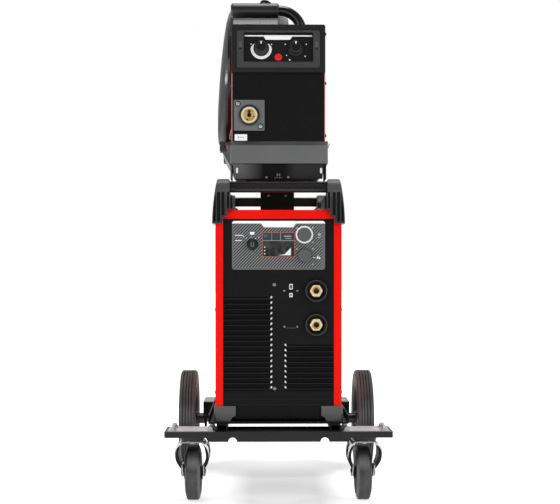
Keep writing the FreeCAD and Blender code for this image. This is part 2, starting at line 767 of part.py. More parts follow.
def caster_fork(side):
    body = fork_strip(FORK_SHEET).common(fork_side())
    edge = fork_side()
    ahead = fork_side()
    ahead.translate(Vector(0, 3, 0))
    behind = fork_side()
    behind.translate(Vector(0, -3, 0))
    below_crown = box(both(60), both(80), (CASTER_WHEEL_R + 2, FORK_TOP - 9))
    flanges = fork_strip(FORK_SHEET + FORK_FLANGE).common(edge).common(below_crown)
    turned_out = flanges.cut(ahead.common(behind))
    race = rod_z(0, 0, RACE_R, FORK_TOP - 1, CASTER_HEIGHT - FORK_SHEET - RACE_DEPTH - SEAT)
    fork = joined(body, turned_out, race)
    fork = fork.cut(rod_z(0, 0, KINGPIN_R + RUNNING, FORK_TOP - 20, CASTER_HEIGHT))
    fork = fork.cut(rod_x(CASTER_TRAIL, CASTER_WHEEL_R, CASTER_AXLE_R + RUNNING, -40, 40))
    foot = CASTER_BOSS_LENGTH / 2 + SEAT + FORK_SHEET + 1.2
    outer = foot + 6
    r = CASTER_AXLE_R
    head = 9.5
    bolt = turned_x((-outer, 0), [(-outer, head - 2), (-outer + 2, head), (-foot, head), (-foot, r),
                                  (foot, r),
                                  (foot, head), (outer - 2, head), (outer, head - 2), (outer, 0)],
                    0, CASTER_TRAIL, CASTER_WHEEL_R)
    place = Vector(side * CASTER_X, CASTER_Y, 0)
    fork.translate(place)
    bolt.translate(place)
    return Part.Compound([fork, bolt])


def caster_hub(side):
    half = CASTER_BOSS_LENGTH / 2
    rim = CASTER_RIM_WIDTH / 2
    bore = CASTER_AXLE_R + RUNNING
    steps = [(half, bore), (half, CASTER_BOSS_R), (5, CASTER_BOSS_R + 2), (5, CASTER_RIM_R - 7),
             (rim, CASTER_RIM_R - 4),
             (rim, CASTER_RIM_R), (-rim, CASTER_RIM_R), (-rim, CASTER_RIM_R - 4), (-5, CASTER_RIM_R - 7),
             (-5, CASTER_BOSS_R + 2), (-half, CASTER_BOSS_R)]
    return turned_x((-half, bore), steps, side * CASTER_X, CASTER_WHEEL_Y, CASTER_WHEEL_R)


def caster_tyre(side):
    rim = CASTER_RIM_WIDTH / 2
    half = CASTER_TYRE_WIDTH / 2
    tread = CASTER_TREAD / 2
    wide = CASTER_RIM_R + 5
    r = CASTER_WHEEL_R
    steps = [(rim, CASTER_RIM_R), (half, wide), (tread + 0.6, r - 2.4), (tread - 1.6, r), (-tread + 1.6, r),
             (-tread - 0.6, r - 2.4), (-half, wide), (-rim, CASTER_RIM_R)]
    return turned_x((-rim, CASTER_RIM_R), steps, side * CASTER_X, CASTER_WHEEL_Y, r)


# Base pan: floor between the feet, turned up all round; the front turn-up shows below the louvred panel
def source_base():
    half = COVER_HALF - SOURCE_SHEET - SEAT
    front = PANEL_FRONT + SOURCE_SHEET
    back = PANEL_BACK - SOURCE_SHEET
    low = SOURCE_BOTTOM + 4
    pan = box(both(half), (front, back), (low, COVER_BOTTOM + 12))
    pan = pan.cut(box(both(half - 2), (front + 2, back - 2), (low + 2, COVER_BOTTOM + 13)))
    skirt = box(both(FOOT_INNER - SEAT), (PANEL_FRONT, front), (low, COVER_BOTTOM + 4 - SEAT))
    back_skirt = box(both(FOOT_INNER - SEAT), (back, PANEL_BACK), (low, COVER_BOTTOM + 4 - SEAT))
    return joined(pan, skirt, back_skirt)


def source_foot():
    """Front right corner foot: a cup round the corner of the base with a quarter-round bite inside."""
    y0 = SOURCE_FRONT - 3
    z1 = COVER_BOTTOM
    foot = box((FOOT_INNER, FOOT_OUTER), (y0, y0 + FOOT_LENGTH), (SOURCE_BOTTOM, z1))
    foot = rounded(foot, 6, lambda d, m: along_z(d, m) and m.x > FOOT_OUTER - 1 and m.y < y0 + 1)
    bite = rod_y(FOOT_INNER, SOURCE_BOTTOM, FOOT_NOTCH, y0 - 1, y0 + FOOT_LENGTH + 1)
    half = COVER_HALF - SOURCE_SHEET
    well = box((0, half), (PANEL_FRONT - SEAT, y0 + FOOT_LENGTH + 1), (SOURCE_BOTTOM + 4, z1 + 1))
    return foot.cut([bite, well])


def source_feet():
    front = source_foot()
    back = mirror_y(front, SOURCE_MIDDLE)
    return Part.Compound([front, mirror_x(front), back, mirror_x(back)])


# Red cover: sheet folded over the top and sides, turned in at the front and back as a frame round the panels
def source_cover():
    z0 = COVER_BOTTOM + SEAT
    shell = box(both(COVER_HALF), (SOURCE_FRONT, SOURCE_BACK), (z0, COVER_TOP))
    shell = rounded(shell, 5, lambda d, m: along_y(d, m) and m.z > COVER_TOP - 1)
    wall = SOURCE_SHEET
    inside = box(both(COVER_HALF - wall), (SOURCE_FRONT + wall, SOURCE_BACK - wall),
                 (z0 - 1, COVER_TOP - wall))
    window = box(both(OPENING_HALF), (SOURCE_FRONT - 1, SOURCE_BACK + 1), (z0 - 1, OPENING_TOP))
    return shell.cut([inside, window])


def louvre(x0, x1, z):
    """One pressed louvre: a hooded lip that leans out downwards, its inner end rounded back to the panel."""
    inner, outer = sorted((x0, x1), key=abs)
    towards = 1 if outer > inner else -1
    panel = PANEL_FRONT
    tip = panel - LOUVRE_PROUD
    wedge = prism_x((panel, z), [(tip, z - LOUVRE_HEIGHT + 1.5), (tip, z - LOUVRE_HEIGHT),
                                 (panel, z - LOUVRE_HEIGHT)],
                    min(x0, x1), max(x0, x1))
    run = 1.5 * LOUVRE_PROUD
    plan = prism_z(
        (outer, panel), [(outer, tip), (inner + towards * run, tip),
                         ((inner + towards * run * 0.3, panel - LOUVRE_PROUD * 0.7), (inner, panel))],
        z - LOUVRE_HEIGHT, z)
    return wedge.common(plan)


def louvre_throat(x0, x1, z):
    """The slot behind a louvre, open downwards under its lip."""
    inner, outer = sorted((x0, x1), key=abs)
    towards = 1 if outer > inner else -1
    wall = LOUVRE_WALL
    panel = PANEL_FRONT
    tip = panel - LOUVRE_PROUD + wall
    low, high = sorted((inner + towards * 5, outer))
    return prism_x(
        (panel + SOURCE_SHEET + 1, z - 3), [(panel, z - 3), (tip, z - LOUVRE_HEIGHT + 1),
                                            (tip, z - LOUVRE_HEIGHT - 0.5),
                                            (panel + SOURCE_SHEET + 1, z - LOUVRE_HEIGHT - 0.5)], low, high)


def louvre_rows():
    """Left and right banks share the lowest louvre's level and the pitch."""
    edge = OPENING_HALF - 1
    for k in range(LOUVRES_LEFT):
        yield -edge, LOUVRE_LEFT_END, LOUVRE_BOTTOM + k * LOUVRE_PITCH
    for k in range(LOUVRES_RIGHT):
        yield LOUVRE_RIGHT_END, edge, LOUVRE_BOTTOM + k * LOUVRE_PITCH


# Black front panel with two banks of louvres and holes for the knobs and sockets
def front_panel():
    half = COVER_HALF - SOURCE_SHEET - SEAT
    y0 = PANEL_FRONT
    y1 = PANEL_FRONT + SOURCE_SHEET
    sheet = box(both(half), (y0, y1), (COVER_BOTTOM + 4, COVER_TOP - SOURCE_SHEET - SEAT))
    sheet = sheet.fuse([louvre(*row) for row in louvre_rows()])
    holes = [louvre_throat(*row) for row in louvre_rows()]
    for x, z in ((SELECTOR_X, SELECTOR_Z), (ENCODER_X, ENCODER_UPPER_Z), (ENCODER_X, ENCODER_LOWER_Z)):
        holes.append(rod_y(x, z, KNOB_SHAFT_R + RUNNING, y0 - 1, y1 + 1))
    for z in (SOCKET_UPPER_Z, SOCKET_LOWER_Z):
        holes.append(rod_y(SOCKET_X, z, SOCKET_WELL_R + SLIP, y0 - 1, y1 + 1))
    return sheet.cut(holes)


# Back panel with the fan guard, the mains gland and the hole for the switch
def rear_panel():
    half = COVER_HALF - SOURCE_SHEET - SEAT
    y1 = PANEL_BACK
    y0 = PANEL_BACK - SOURCE_SHEET
    sheet = box(both(half), (y0, y1), (COVER_BOTTOM + 4, COVER_TOP - SOURCE_SHEET - SEAT))
    opening = rod_y(0, FAN_Z, FAN_R + 4, y0 - 1, y1 + 1)
    shaft_hole = rod_y(SWITCH_X, SWITCH_Z, KNOB_SHAFT_R + RUNNING, y0 - 1, y1 + 1)
    gland_hole = rod_y(GLAND_X, GLAND_Z, GLAND_R - 4, y0 - 1, y1 + 1)
    sheet = sheet.cut([opening, shaft_hole, gland_hole])
    wires = []
    for k in range(1, 5):
        r = FAN_HUB_R + k * (FAN_R - FAN_HUB_R) / 5 + 4
        ring = rod_y(0, FAN_Z, r + 1.5, y0, y1).cut(rod_y(0, FAN_Z, r - 1.5, y0 - 1, y1 + 1))
        wires.append(ring)
    for k in range(3):
        arm = box(both(FAN_R + 6), (y0, y1), both(2))
        arm.rotate(Vector(0, 0, 0), Vector(0, 1, 0), 60 * k)
        arm.translate(Vector(0, 0, FAN_Z))
        wires.append(arm)
    boss = rod_y(0, FAN_Z, FAN_HUB_R, y0, y1)
    pin = rod_y(0, FAN_Z, FAN_PIN_R, y0 - FAN_DEPTH - SEAT - 3, y0 + 1)
    panel = joined(sheet, boss, pin, *wires)
    nut = hexagon_y(GLAND_X, GLAND_Z, 2 * GLAND_R - 4, y1, y1 + 8)
    body = turned_y((-SOURCE_SHEET, GLAND_BORE_R),
                    [(-SOURCE_SHEET, GLAND_R - 4 - RUNNING), (0, GLAND_R - 4 - RUNNING), (0, GLAND_R),
                     (8, GLAND_R),
                     (10, GLAND_R - 2), (GLAND_LENGTH - 6, GLAND_R - 3),
                     (GLAND_LENGTH - SOURCE_SHEET, GLAND_R - 6),
                     (GLAND_LENGTH - SOURCE_SHEET, GLAND_BORE_R)],
                    GLAND_X, y1, GLAND_Z)
    gland = joined(body, nut).cut(rod_y(GLAND_X, GLAND_Z, GLAND_BORE_R, y1 - 10, y1 + GLAND_LENGTH + 1))
    return Part.Compound([panel, gland])


# Corner moulding of the handles: an arched block over the cover's corner with upright grooves
def handle_end():
    front = SOURCE_FRONT - END_PROUD
    back = front + END_LENGTH
    brow = END_TOP - 7
    bulge = ((END_TOP_OUTER + END_FOOT_OUTER) / 2 + END_BULGE, (brow + END_FOOT) / 2)
    toe_top = COVER_TOP + END_TOE_RISE
    steps = [(END_INNER + 3, END_TOP), (END_TOP_OUTER - 6, END_TOP),
             ((END_TOP_OUTER - 1.8, END_TOP - 2), (END_TOP_OUTER, brow)),
             (bulge, (END_FOOT_OUTER, END_FOOT)),
             (END_STEP_X, END_FOOT), (END_STEP_X, COVER_TOP - 18), (END_RETURN_X, COVER_TOP - 14),
             (END_RETURN_X, COVER_TOP), (END_TOE_X, COVER_TOP), (END_TOE_X, toe_top - 8),
             ((END_TOE_X + 2.3, toe_top - 2.3), (END_TOE_X + 8, toe_top)), (END_INNER, toe_top)]
    seen_in_front = prism_y((END_INNER, END_TOP - 3), steps, front - 1, back + 1)
    r = END_RADIUS
    seen_in_side = prism_x(
        (front, END_FOOT),
        [(front, END_TOP - r), ((front + r * 0.293, END_TOP - r * 0.293), (front + r, END_TOP)),
         (front + 60, END_TOP), ((front + 84, END_TOP - 12), (front + 96, END_TOP - 38)),
         (back, COVER_TOP + 8), (back, COVER_TOP - 14), (front + 70, END_FOOT)],
        END_TOE_X - 1, END_FOOT_OUTER + 3)
    block = seen_in_front.common(seen_in_side)
    corner = box((0, COVER_HALF + SLIP), (SOURCE_FRONT - SLIP, back + 5), (END_FOOT - 5, COVER_TOP))
    inside = seen_in_front.copy()
    inside.translate(Vector(-GROOVE_RIB, 0, 0))
    grooves = [groove.common(inside) for groove in handle_grooves(front)]
    return block.cut([corner] + grooves)


def handle_grooves(front):
    """Upright grooves in the moulding's front face, three wide ones outside and two narrow ones inside."""
    first = END_INNER + GROOVE_FIRST
    rows = [(first, GROOVE_WIDTH, COVER_TOP - 12, GROOVE_TOP),
            (first + GROOVE_PITCH, GROOVE_WIDTH, END_FOOT + 4, GROOVE_TOP),
            (first + 2 * GROOVE_PITCH, GROOVE_WIDTH, END_FOOT + 4, GROOVE_TOP),
            (END_INNER + 3, GROOVE_NARROW, COVER_TOP + 3, GROOVE_TOP),
            (END_INNER - 4.5, GROOVE_NARROW, COVER_TOP + 3, COVER_TOP + END_TOE_RISE - 4)]
    for x, width, low, high in rows:
        yield box((x - width / 2, x + width / 2), (front - 1, front + GROOVE_DEPTH), (low, high))


def handle_ends():
    front = handle_end()
    back = mirror_y(front, SOURCE_MIDDLE)
    return Part.Compound([front, mirror_x(front), back, mirror_x(back)])


def handle_bars():
    y = SOURCE_FRONT + BAR_SETBACK
    face = y - BAR_DEPTH / 2
    low = BAR_Z - BAR_HEIGHT / 2
    bar = box(both(END_INNER), (face, y + BAR_DEPTH / 2), (low, BAR_Z + BAR_HEIGHT / 2))
    bar = rounded(bar, BAR_HEIGHT * 0.25, along_x)
    recess = prism_x((face - 1, low + BAR_HEIGHT * 0.22),
                     [(face - 1, low + BAR_HEIGHT * 0.74), (face + BAR_RECESS, low + BAR_HEIGHT * 0.74),
                      (face + BAR_RECESS, low + BAR_HEIGHT * 0.38)], 1 - END_INNER, END_INNER - 1)
    bar = bar.cut(recess)
    return Part.Compound([bar, mirror_y(bar, SOURCE_MIDDLE)])


# Control plate with the knobs' shaft holes and a recess for the display
def control_plate():
    y0 = PANEL_FRONT - PLATE_THICKNESS
    plate = box(both(PLATE_WIDTH / 2), (y0, PANEL_FRONT), (PLATE_BOTTOM, PLATE_TOP))
    plate = rounded(plate, PLATE_CORNER, along_y)
    seat = box(both(DISPLAY_WIDTH / 2), (y0 - 1, y0 + DISPLAY_THICKNESS), (DISPLAY_BOTTOM, DISPLAY_TOP))
    holes = [seat]
    for x, z in ((SELECTOR_X, SELECTOR_Z), (ENCODER_X, ENCODER_UPPER_Z), (ENCODER_X, ENCODER_LOWER_Z)):
        holes.append(rod_y(x, z, KNOB_SHAFT_R + RUNNING, y0 - 1, PANEL_FRONT + 1))
    return plate.cut(holes)


def display_unit():
    y0 = PANEL_FRONT - PLATE_THICKNESS
    half = DISPLAY_WIDTH / 2 - SEAT
    pane = box(both(half), (y0, y0 + DISPLAY_THICKNESS), (DISPLAY_BOTTOM + SEAT, DISPLAY_TOP - SEAT))
    return rounded(pane, 3, along_y)


def knob_shaft(x, z, face, reach):
    """Shaft from a knob's back face through the panel behind it."""
    return rod_y(x, z, KNOB_SHAFT_R, face, face + reach)


# Selector: a skirted knob with a finger bar across it
def selector_knob():
    face = PANEL_FRONT - PLATE_THICKNESS - SEAT
    r = SELECTOR_R
    skirt = turned_y((0, 0), [(0, r), (-3, r), (-6, r - 3), (-6, 0)], SELECTOR_X, face, SELECTOR_Z)
    bar = box((SELECTOR_X - 4, SELECTOR_X + 4), (face - SELECTOR_DEPTH, face - 5),
              (SELECTOR_Z - r + 2, SELECTOR_Z + r))
    bar = rounded(bar, 3, along_y)
    shaft = knob_shaft(SELECTOR_X, SELECTOR_Z, face - 1, PLATE_THICKNESS + SOURCE_SHEET + SEAT + 8)
    return joined(skirt, bar, shaft)


# Encoder: a plain fluted cap with a rounded rim
def encoder_knob(z):
    face = PANEL_FRONT - PLATE_THICKNESS - SEAT
    r = ENCODER_R
    d = ENCODER_DEPTH
    cap = turned_y((0, 0), [(0, r), (-d + 3, r - 0.8), ((-d + 0.9, r - 1.7), (-d, r - 3.8)), (-d, 0)],
                   ENCODER_X, face, z)
    shaft = knob_shaft(ENCODER_X, z, face - 1, PLATE_THICKNESS + SOURCE_SHEET + SEAT + 8)
    return joined(cap, shaft)


# Output socket shells: a round collar with a well, clamped through the panel
def socket_shell(z):
    y = PANEL_FRONT
    d = SOCKET_SHELL_DEPTH
    seat = CONTACT_BODY_R + RUNNING
    ring = turned_y((0, seat), [(0, SOCKET_SHELL_R), (-d + 4, SOCKET_SHELL_R),
                                ((-d + 1.2, SOCKET_SHELL_R - 1.2), (-d, SOCKET_SHELL_R - 4)),
                                (-d, SOCKET_WELL_R), (-2, seat)], SOCKET_X, y, z)
    neck = turned_y((-1, seat), [(-1, SOCKET_WELL_R), (CONTACT_BODY, SOCKET_WELL_R), (CONTACT_BODY, seat)],
                    SOCKET_X, y, z)
    return joined(ring, neck)


def socket_shells():
    return Part.Compound([socket_shell(SOCKET_UPPER_Z), socket_shell(SOCKET_LOWER_Z)])


# Brass contacts: hexagonal nose, round body held in the shell's neck, bayonet bore with its key slot
def socket_contact(z):
    y0 = PANEL_FRONT - CONTACT_NOSE
    y1 = y0 + CONTACT_LENGTH
    nose = hexagon_y(SOCKET_X, z, CONTACT_ACROSS, y0, PANEL_FRONT + 1)
    body = rod_y(SOCKET_X, z, CONTACT_BODY_R, PANEL_FRONT - 1, PANEL_FRONT + CONTACT_BODY)
    tail = rod_y(SOCKET_X, z, CONTACT_ACROSS / 2 - 3, PANEL_FRONT + CONTACT_BODY - 1, y1 + 8)
    contact = joined(nose, body, tail)
    return contact.cut(rod_y(SOCKET_X, z, CONTACT_BORE_R, y0 - 1, y1))


def socket_contacts():
    return Part.Compound([socket_contact(SOCKET_UPPER_Z), socket_contact(SOCKET_LOWER_Z)])


# Fan on the pin behind the guard
def fan_rotor():
    y1 = PANEL_BACK - SOURCE_SHEET - SEAT
    y0 = y1 - FAN_DEPTH
    hub = rod_y(0, FAN_Z, FAN_HUB_R, y0, y1)
    blades = []
    for k in range(FAN_BLADES):
        blade = box((-9, 9), (-1, 1), (FAN_HUB_R - 2, FAN_R))
        blade.rotate(Vector(0, 0, 0), Vector(0, 0, 1), 35)
        blade.rotate(Vector(0, 0, 0), Vector(0, 1, 0), 360.0 * k / FAN_BLADES)
        blade.translate(Vector(0, (y0 + y1) / 2, FAN_Z))
        blades.append(blade)
    rotor = joined(hub, *blades)
    return rotor.cut(rod_y(0, FAN_Z, FAN_PIN_R + RUNNING, y0 - 1, y1 + 1))


# Main transformer: laminated core with the coil round its middle leg, bolted to the base pan
def main_transformer():
    low = SOURCE_BOTTOM + 6
    half = TRANSFORMER_WIDTH / 2
    y0 = SOURCE_MIDDLE - TRANSFORMER_LENGTH / 2
    y1 = SOURCE_MIDDLE + TRANSFORMER_LENGTH / 2
    top = low + TRANSFORMER_HEIGHT
    leg = TRANSFORMER_WIDTH / 5
    core = box(both(half), (y0 + 25, y1 - 25), (low, top))
    windows = [box((side * half * 0.45 - leg / 2, side * half * 0.45 + leg / 2), (y0, y1),
                   (low + 24, top - 24))
               for side in (-1, 1)]
    coil = box(both(half * 0.62), (y0, y1), (low + 26, top - 26))
    coil = rounded(coil, 12, along_z)
    return joined(core.cut(windows), coil)


# Rotary main switch on the back: round escutcheon base with a bar grip
def main_switch():
    face = PANEL_BACK + SEAT
    r = SWITCH_R
    base = turned_y((0, 0), [(0, r), (5, r), (8, r - 4), (8, 0)], SWITCH_X, face, SWITCH_Z)
    grip = rounded(box((SWITCH_X - 6, SWITCH_X + 6), (face + 7, face + SWITCH_DEPTH),
                       (SWITCH_Z - r + 3, SWITCH_Z + r - 3)),
                   4, along_y)
    shaft = rod_y(SWITCH_X, SWITCH_Z, KNOB_SHAFT_R, face - SOURCE_SHEET - SEAT - 8, face + 1)
    return joined(base, grip, shaft)


# Pedestal: a folded hat bolted on the cover with the pivot spigot on top
def feeder_pedestal():
    half = PEDESTAL_WIDTH / 2
    y = (PIVOT_Y - PEDESTAL_DEPTH / 2, PIVOT_Y + PEDESTAL_DEPTH / 2)
    top = COVER_TOP + PEDESTAL_HEIGHT
    hat = rounded(box(both(half), y, (COVER_TOP, top)), 4, lambda d, m: along_y(d, m) and m.z > top - 1)
    wall = CART_SHEET
    hat = hat.cut(box(both(half - wall), (y[0] - 1, y[1] + 1), (COVER_TOP - 1, top - wall)))
    brim = box(both(half + PEDESTAL_BRIM), y, (COVER_TOP, COVER_TOP + wall))
    brim = brim.cut(box(both(half - wall), (y[0] - 1, y[1] + 1), (COVER_TOP - 1, COVER_TOP + wall + 1)))
    front = box(both(half), (y[0], y[0] + wall), (COVER_TOP + 12, top))
    spigot = rod_z(0, PIVOT_Y, PIVOT_R, top - 1, TURNTABLE_TOP - SEAT)
    return joined(hat, brim, front, spigot)


# Turntable frame under the feeder: leaning front and back panels between a floor strip and a top plate
def turntable_frame():
    half = TURNTABLE_HALF
    z0 = TURNTABLE_BOTTOM
    z1 = TURNTABLE_TOP
    front = FEEDER_FRONT + 5
    back = TURNTABLE_BACK
    lean = TURNTABLE_LEAN
    sheet = CART_SHEET
    top = rounded(box(both(half), (front, back), (z1, z1 + sheet)), 4, along_z)
    slope = prism_x((front, z1), [(front + lean, z0), (front + lean + sheet, z0), (front + sheet, z1)],
                    -half, half)
    slope = slope.common(prism_y((-SLOPE_HALF_TOP, z1), [(SLOPE_HALF_TOP, z1), (SLOPE_HALF_FOOT, z0),
                                                         (-SLOPE_HALF_FOOT, z0)], front - 1, back))
    floor = box(both(SLOPE_HALF_FOOT - 27), (front + lean, back - 10), (z0, z0 + sheet))
    rear = box(both(SLOPE_HALF_FOOT - 2), (back - 10, back - 10 + sheet), (z0, z1))
    hub = rod_z(0, PIVOT_Y, PIVOT_R + 9, z0, z1)
    flanges = []
    for side in (-1, 1):
        x = sorted((side * half, side * (half - sheet)))
        flanges.append(box(x, (front + 4, front + TURNTABLE_FLANGE), (z0, z1 + 1)))
    slots = []
    for side in (-1, 1):
        slot = box((side * SLOT_X - 3.5, side * SLOT_X + 3.5), (front - 5, front + lean + sheet + 4),
                   (z0 + 10, z1 - 8))
        slots.append(rounded(slot, 3.4, along_y))
    frame = joined(top, slope, floor, rear, hub, *flanges)
    bore = rod_z(0, PIVOT_Y, PIVOT_R + RUNNING, z0 - 1, z1)
    return frame.cut(slots + [bore])


def base_wing(y0, y1, reach):
    """A flare on the left: the deep one carries the hinge, the shallow one leads to the front."""
    outer = BASE_LEFT - reach
    top = BOX_BOTTOM - 2
    return prism_y((BASE_LEFT, BASE_BOTTOM), [(outer + 1, top - 8), (outer, top - 3), (outer + 2, top),
                                              (BASE_LEFT, top)],
                   y0, y1)


# Feeder base: moulded tray turned upside down, with a sloping band up to the front panel and the hinge wing
def feeder_base():
    band = BOX_BOTTOM - BASE_BAND
    y0 = FEEDER_FRONT
    y1 = FEEDER_BACK
    body = prism_x((y0, BASE_BOTTOM), [(y0, band), (y0 + BASE_STEP, BOX_BOTTOM), (y1, BOX_BOTTOM),
                                       (y1, BASE_BOTTOM)],
                   BASE_LEFT, BASE_RIGHT)
    body = rounded(body, 4, lambda d, m: along_z(d, m))
    wall = BASE_WALL
    hollow = box((BASE_LEFT + wall, BASE_RIGHT - wall), (y0 + wall + BASE_STEP, y1 - wall),
                 (BASE_BOTTOM - 1, BOX_BOTTOM - wall))
    body = body.cut(hollow)
    first = SPOOL_Y - HINGE_SPREAD
    last = SPOOL_Y + HINGE_SPREAD
    arm = HINGE_ARM_WIDTH / 2
    wing_front = first - arm - 12
    pieces = [base_wing(wing_front, last + arm + 12, WING_REACH),
              base_wing(y0 + BASE_STEP, wing_front + 1, FLARE_REACH)]
    for y in (first, last):
        for side in (-1, 1):
            near, far = sorted((y + side * (arm + SLIP), y + side * (arm + 8)))
            ear = box((HINGE_X - 5, HINGE_X + 7), (near, far), (BOX_BOTTOM - 8, HINGE_Z + 1))
            pieces.append(joined(ear, rod_y(HINGE_X, HINGE_Z, 6, near, far)))
        pieces.append(rod_y(HINGE_X, HINGE_Z, HINGE_PIN_R, y - arm - 4, y + arm + 4))
    return joined(body, *pieces)


def spool_clear(r, x0, x1):
    return rod_x(SPOOL_Y, SPOOL_Z, r, x0, x1)


# Feeder chassis: partition, back wall and roof in one folded sheet, open on the left
def feeder_chassis():
    sheet = BOX_SHEET
    z = (BOX_BOTTOM, BOX_TOP)
    y = (BOX_FRONT + sheet, BOX_BACK)
    partition = box((PARTITION_X, PARTITION_X + sheet), y, z)
    back = box(both(BOX_HALF), (BOX_BACK - sheet, BOX_BACK), z)
    roof = box(both(BOX_HALF), y, (BOX_TOP - sheet, BOX_TOP))
    gap = HOOD_R + SLIP
    roof_cut = box((-BOX_HALF - 1, PARTITION_X), (SPOOL_Y - gap, SPOOL_Y + gap),
                   (BOX_TOP - sheet - 1, BOX_TOP + 1))
    motor_hole = rod_x(DRIVE_Y, drive_axis_z(), MOTOR_R + 2, PARTITION_X - 1, PARTITION_X + sheet + 1)
    return joined(partition, back, roof).cut([roof_cut, motor_hole])


def feeder_side_panel():
    panel = box((BOX_HALF, BOX_HALF + DOOR_SHEET), (BOX_FRONT + BOX_SHEET, BOX_BACK), (BOX_BOTTOM, BOX_TOP))
    return rounded(panel, 3, along_x)


# Left door: flat sheet with the round opening for the spool cover and two arms down to the hinge pins
def feeder_door():
    x0 = -BOX_HALF - SEAT - DOOR_SHEET
    x1 = -BOX_HALF - SEAT
    z0 = BOX_BOTTOM + 4
    y = (BOX_FRONT + BOX_SHEET + DOOR_GAP, BOX_BACK - BOX_SHEET - DOOR_GAP)
    sheet = box((x0, x1), y, (z0, BOX_TOP - 2))
    sheet = sheet.cut(spool_clear(HOOD_R - HOOD_WALL, x0 - 1, x1 + 1))
    arms = []
    half = HINGE_ARM_WIDTH / 2
    for y in (SPOOL_Y - HINGE_SPREAD, SPOOL_Y + HINGE_SPREAD):
        plate = box((HINGE_X, x1), (y - half, y + half), (HINGE_Z - 1.5, HINGE_Z + 1.5))
        barrel = rod_y(HINGE_X, HINGE_Z, 5, y - half, y + half)
        arms.append(joined(plate, barrel).cut(rod_y(HINGE_X, HINGE_Z, HINGE_PIN_R + RUNNING, y - half - 1,
                                                    y + half + 1)))
    return joined(sheet, *arms)


def front_panel_holes(y0, y1):
    for x in (-FEEDER_KNOB_X, FEEDER_KNOB_X):
        yield rod_y(x, FEEDER_KNOB_Z, KNOB_SHAFT_R + RUNNING, y0 - 1, y1 + 1)
    yield rod_y(0, BUTTON_Z, BUTTON_R + RUNNING, y0 - 1, y1 + 1)


def feeder_front_panel():
    y0 = BOX_FRONT
    y1 = BOX_FRONT + BOX_SHEET
    sheet = box(both(BOX_HALF), (y0, y1), (BOX_BOTTOM, BOX_TOP))
    socket_hole = rod_y(TORCH_X, TORCH_Z, TORCH_BRASS_R + 1, y0 - 1, y1 + 1)
    return sheet.cut(list(front_panel_holes(y0, y1)) + [socket_hole])


# Fascia: moulded bezel over the top of the front panel, with a raised frame round the sunk control plate
def feeder_fascia():
    y0 = FASCIA_FRONT
    y1 = BOX_FRONT
    body = box(both(FASCIA_HALF), (y0, y1), (FASCIA_BOTTOM, BOX_TOP + 0.5))
    body = rounded(body, 5, lambda d, m: along_y(d, m) and m.z > BOX_TOP - 1)
    frame = box(both(FRAME_HALF), (y0 - FRAME_PROUD, y0 + 1), (FRAME_BOTTOM, FRAME_TOP))
    frame = rounded(frame, 5, along_y)
    window = box(both(WINDOW_HALF), (y0 - FRAME_PROUD - 1, y1 - 2), (WINDOW_BOTTOM, WINDOW_TOP))
    window = rounded(window, 2, along_y)
    return joined(body, frame).cut([window] + list(front_panel_holes(y0, y1)))


# Feeder knob: skirted cap with a pointer flat
def feeder_knob(x):
    face = BOX_FRONT - 2 - SEAT
    r = FEEDER_KNOB_R
    d = FEEDER_KNOB_DEPTH
    cap = turned_y((0, 0), [(0, r), (-4, r), (-6, r - 2.5), (-d + 3, r - 4),
                            ((-d + 0.9, r - 5), (-d, r - 7)), (-d, 0)],
                   x, face, FEEDER_KNOB_Z)
    shaft = knob_shaft(x, FEEDER_KNOB_Z, face - 1, 2 + BOX_SHEET + SEAT + 8)
    return joined(cap, shaft)


# Wire test button: domed cap on a stem through the panel, with a flange behind that keeps it in
def test_button():
    face = BOX_FRONT - 2
    r = BUTTON_R
    tip = face - BUTTON_PROUD
    back = BOX_FRONT + BOX_SHEET + SEAT
    cap = turned_y((back + 3, 0), [(back + 3, r + 2), (back, r + 2), (back, r), (tip + 2, r),
                                   ((tip + 0.6, r - 1.4), (tip, r - 3.4)), (tip, 0)], 0, 0, BUTTON_Z)
    return cap


def euro_plate():
    y1 = BOX_FRONT
    y0 = y1 - TORCH_PLATE_THICKNESS
    half = TORCH_PLATE / 2
    plate = box((TORCH_X - half, TORCH_X + half), (y0, y1), (TORCH_Z - half, TORCH_Z + half))
    plate = rounded(plate, 2, along_y)
    ring = turned_y((0, TORCH_BRASS_R), [(0, TORCH_RING_R), (-4, TORCH_RING_R), (-6, TORCH_RING_R - 2),
                                         (-6, TORCH_BRASS_R)], TORCH_X, y0, TORCH_Z)
    hole = rod_y(TORCH_X, TORCH_Z, TORCH_BRASS_R + RUNNING, y0 - 10, y1 + 1)
    return joined(plate, ring).cut(hole)


# Torch socket: brass body through the plate, with the wire bore, the key recess and two pin sockets
def euro_socket():
    front = BOX_FRONT - TORCH_PLATE_THICKNESS - 5
    back = BOX_FRONT + 36
    tail_end = DRIVE_Y - ROLL_R - 3
    body = turned_y((front, 0), [(front, TORCH_BRASS_R - 1), (front + 1, TORCH_BRASS_R),
                                 (back, TORCH_BRASS_R),
                                 (back, 6), (tail_end, 4), (tail_end, 0)], TORCH_X, 0, TORCH_Z)
    cuts = [rod_y(TORCH_X, TORCH_Z, TORCH_BORE_R, front - 1, front + 30),
            rod_y(TORCH_X, TORCH_Z, WIRE_HOLE_R, front + 29, tail_end + 1),
            rod_y(TORCH_X + 10.5, TORCH_Z - 3, 1.9, front - 1, front + 12),
            rod_y(TORCH_X - 4, TORCH_Z - 11, 1.9, front - 1, front + 12),
            box((TORCH_X - 3, TORCH_X + 3), (front - 1, front + 8), (TORCH_Z + 3, TORCH_Z + 11))]
    return body.cut(cuts)


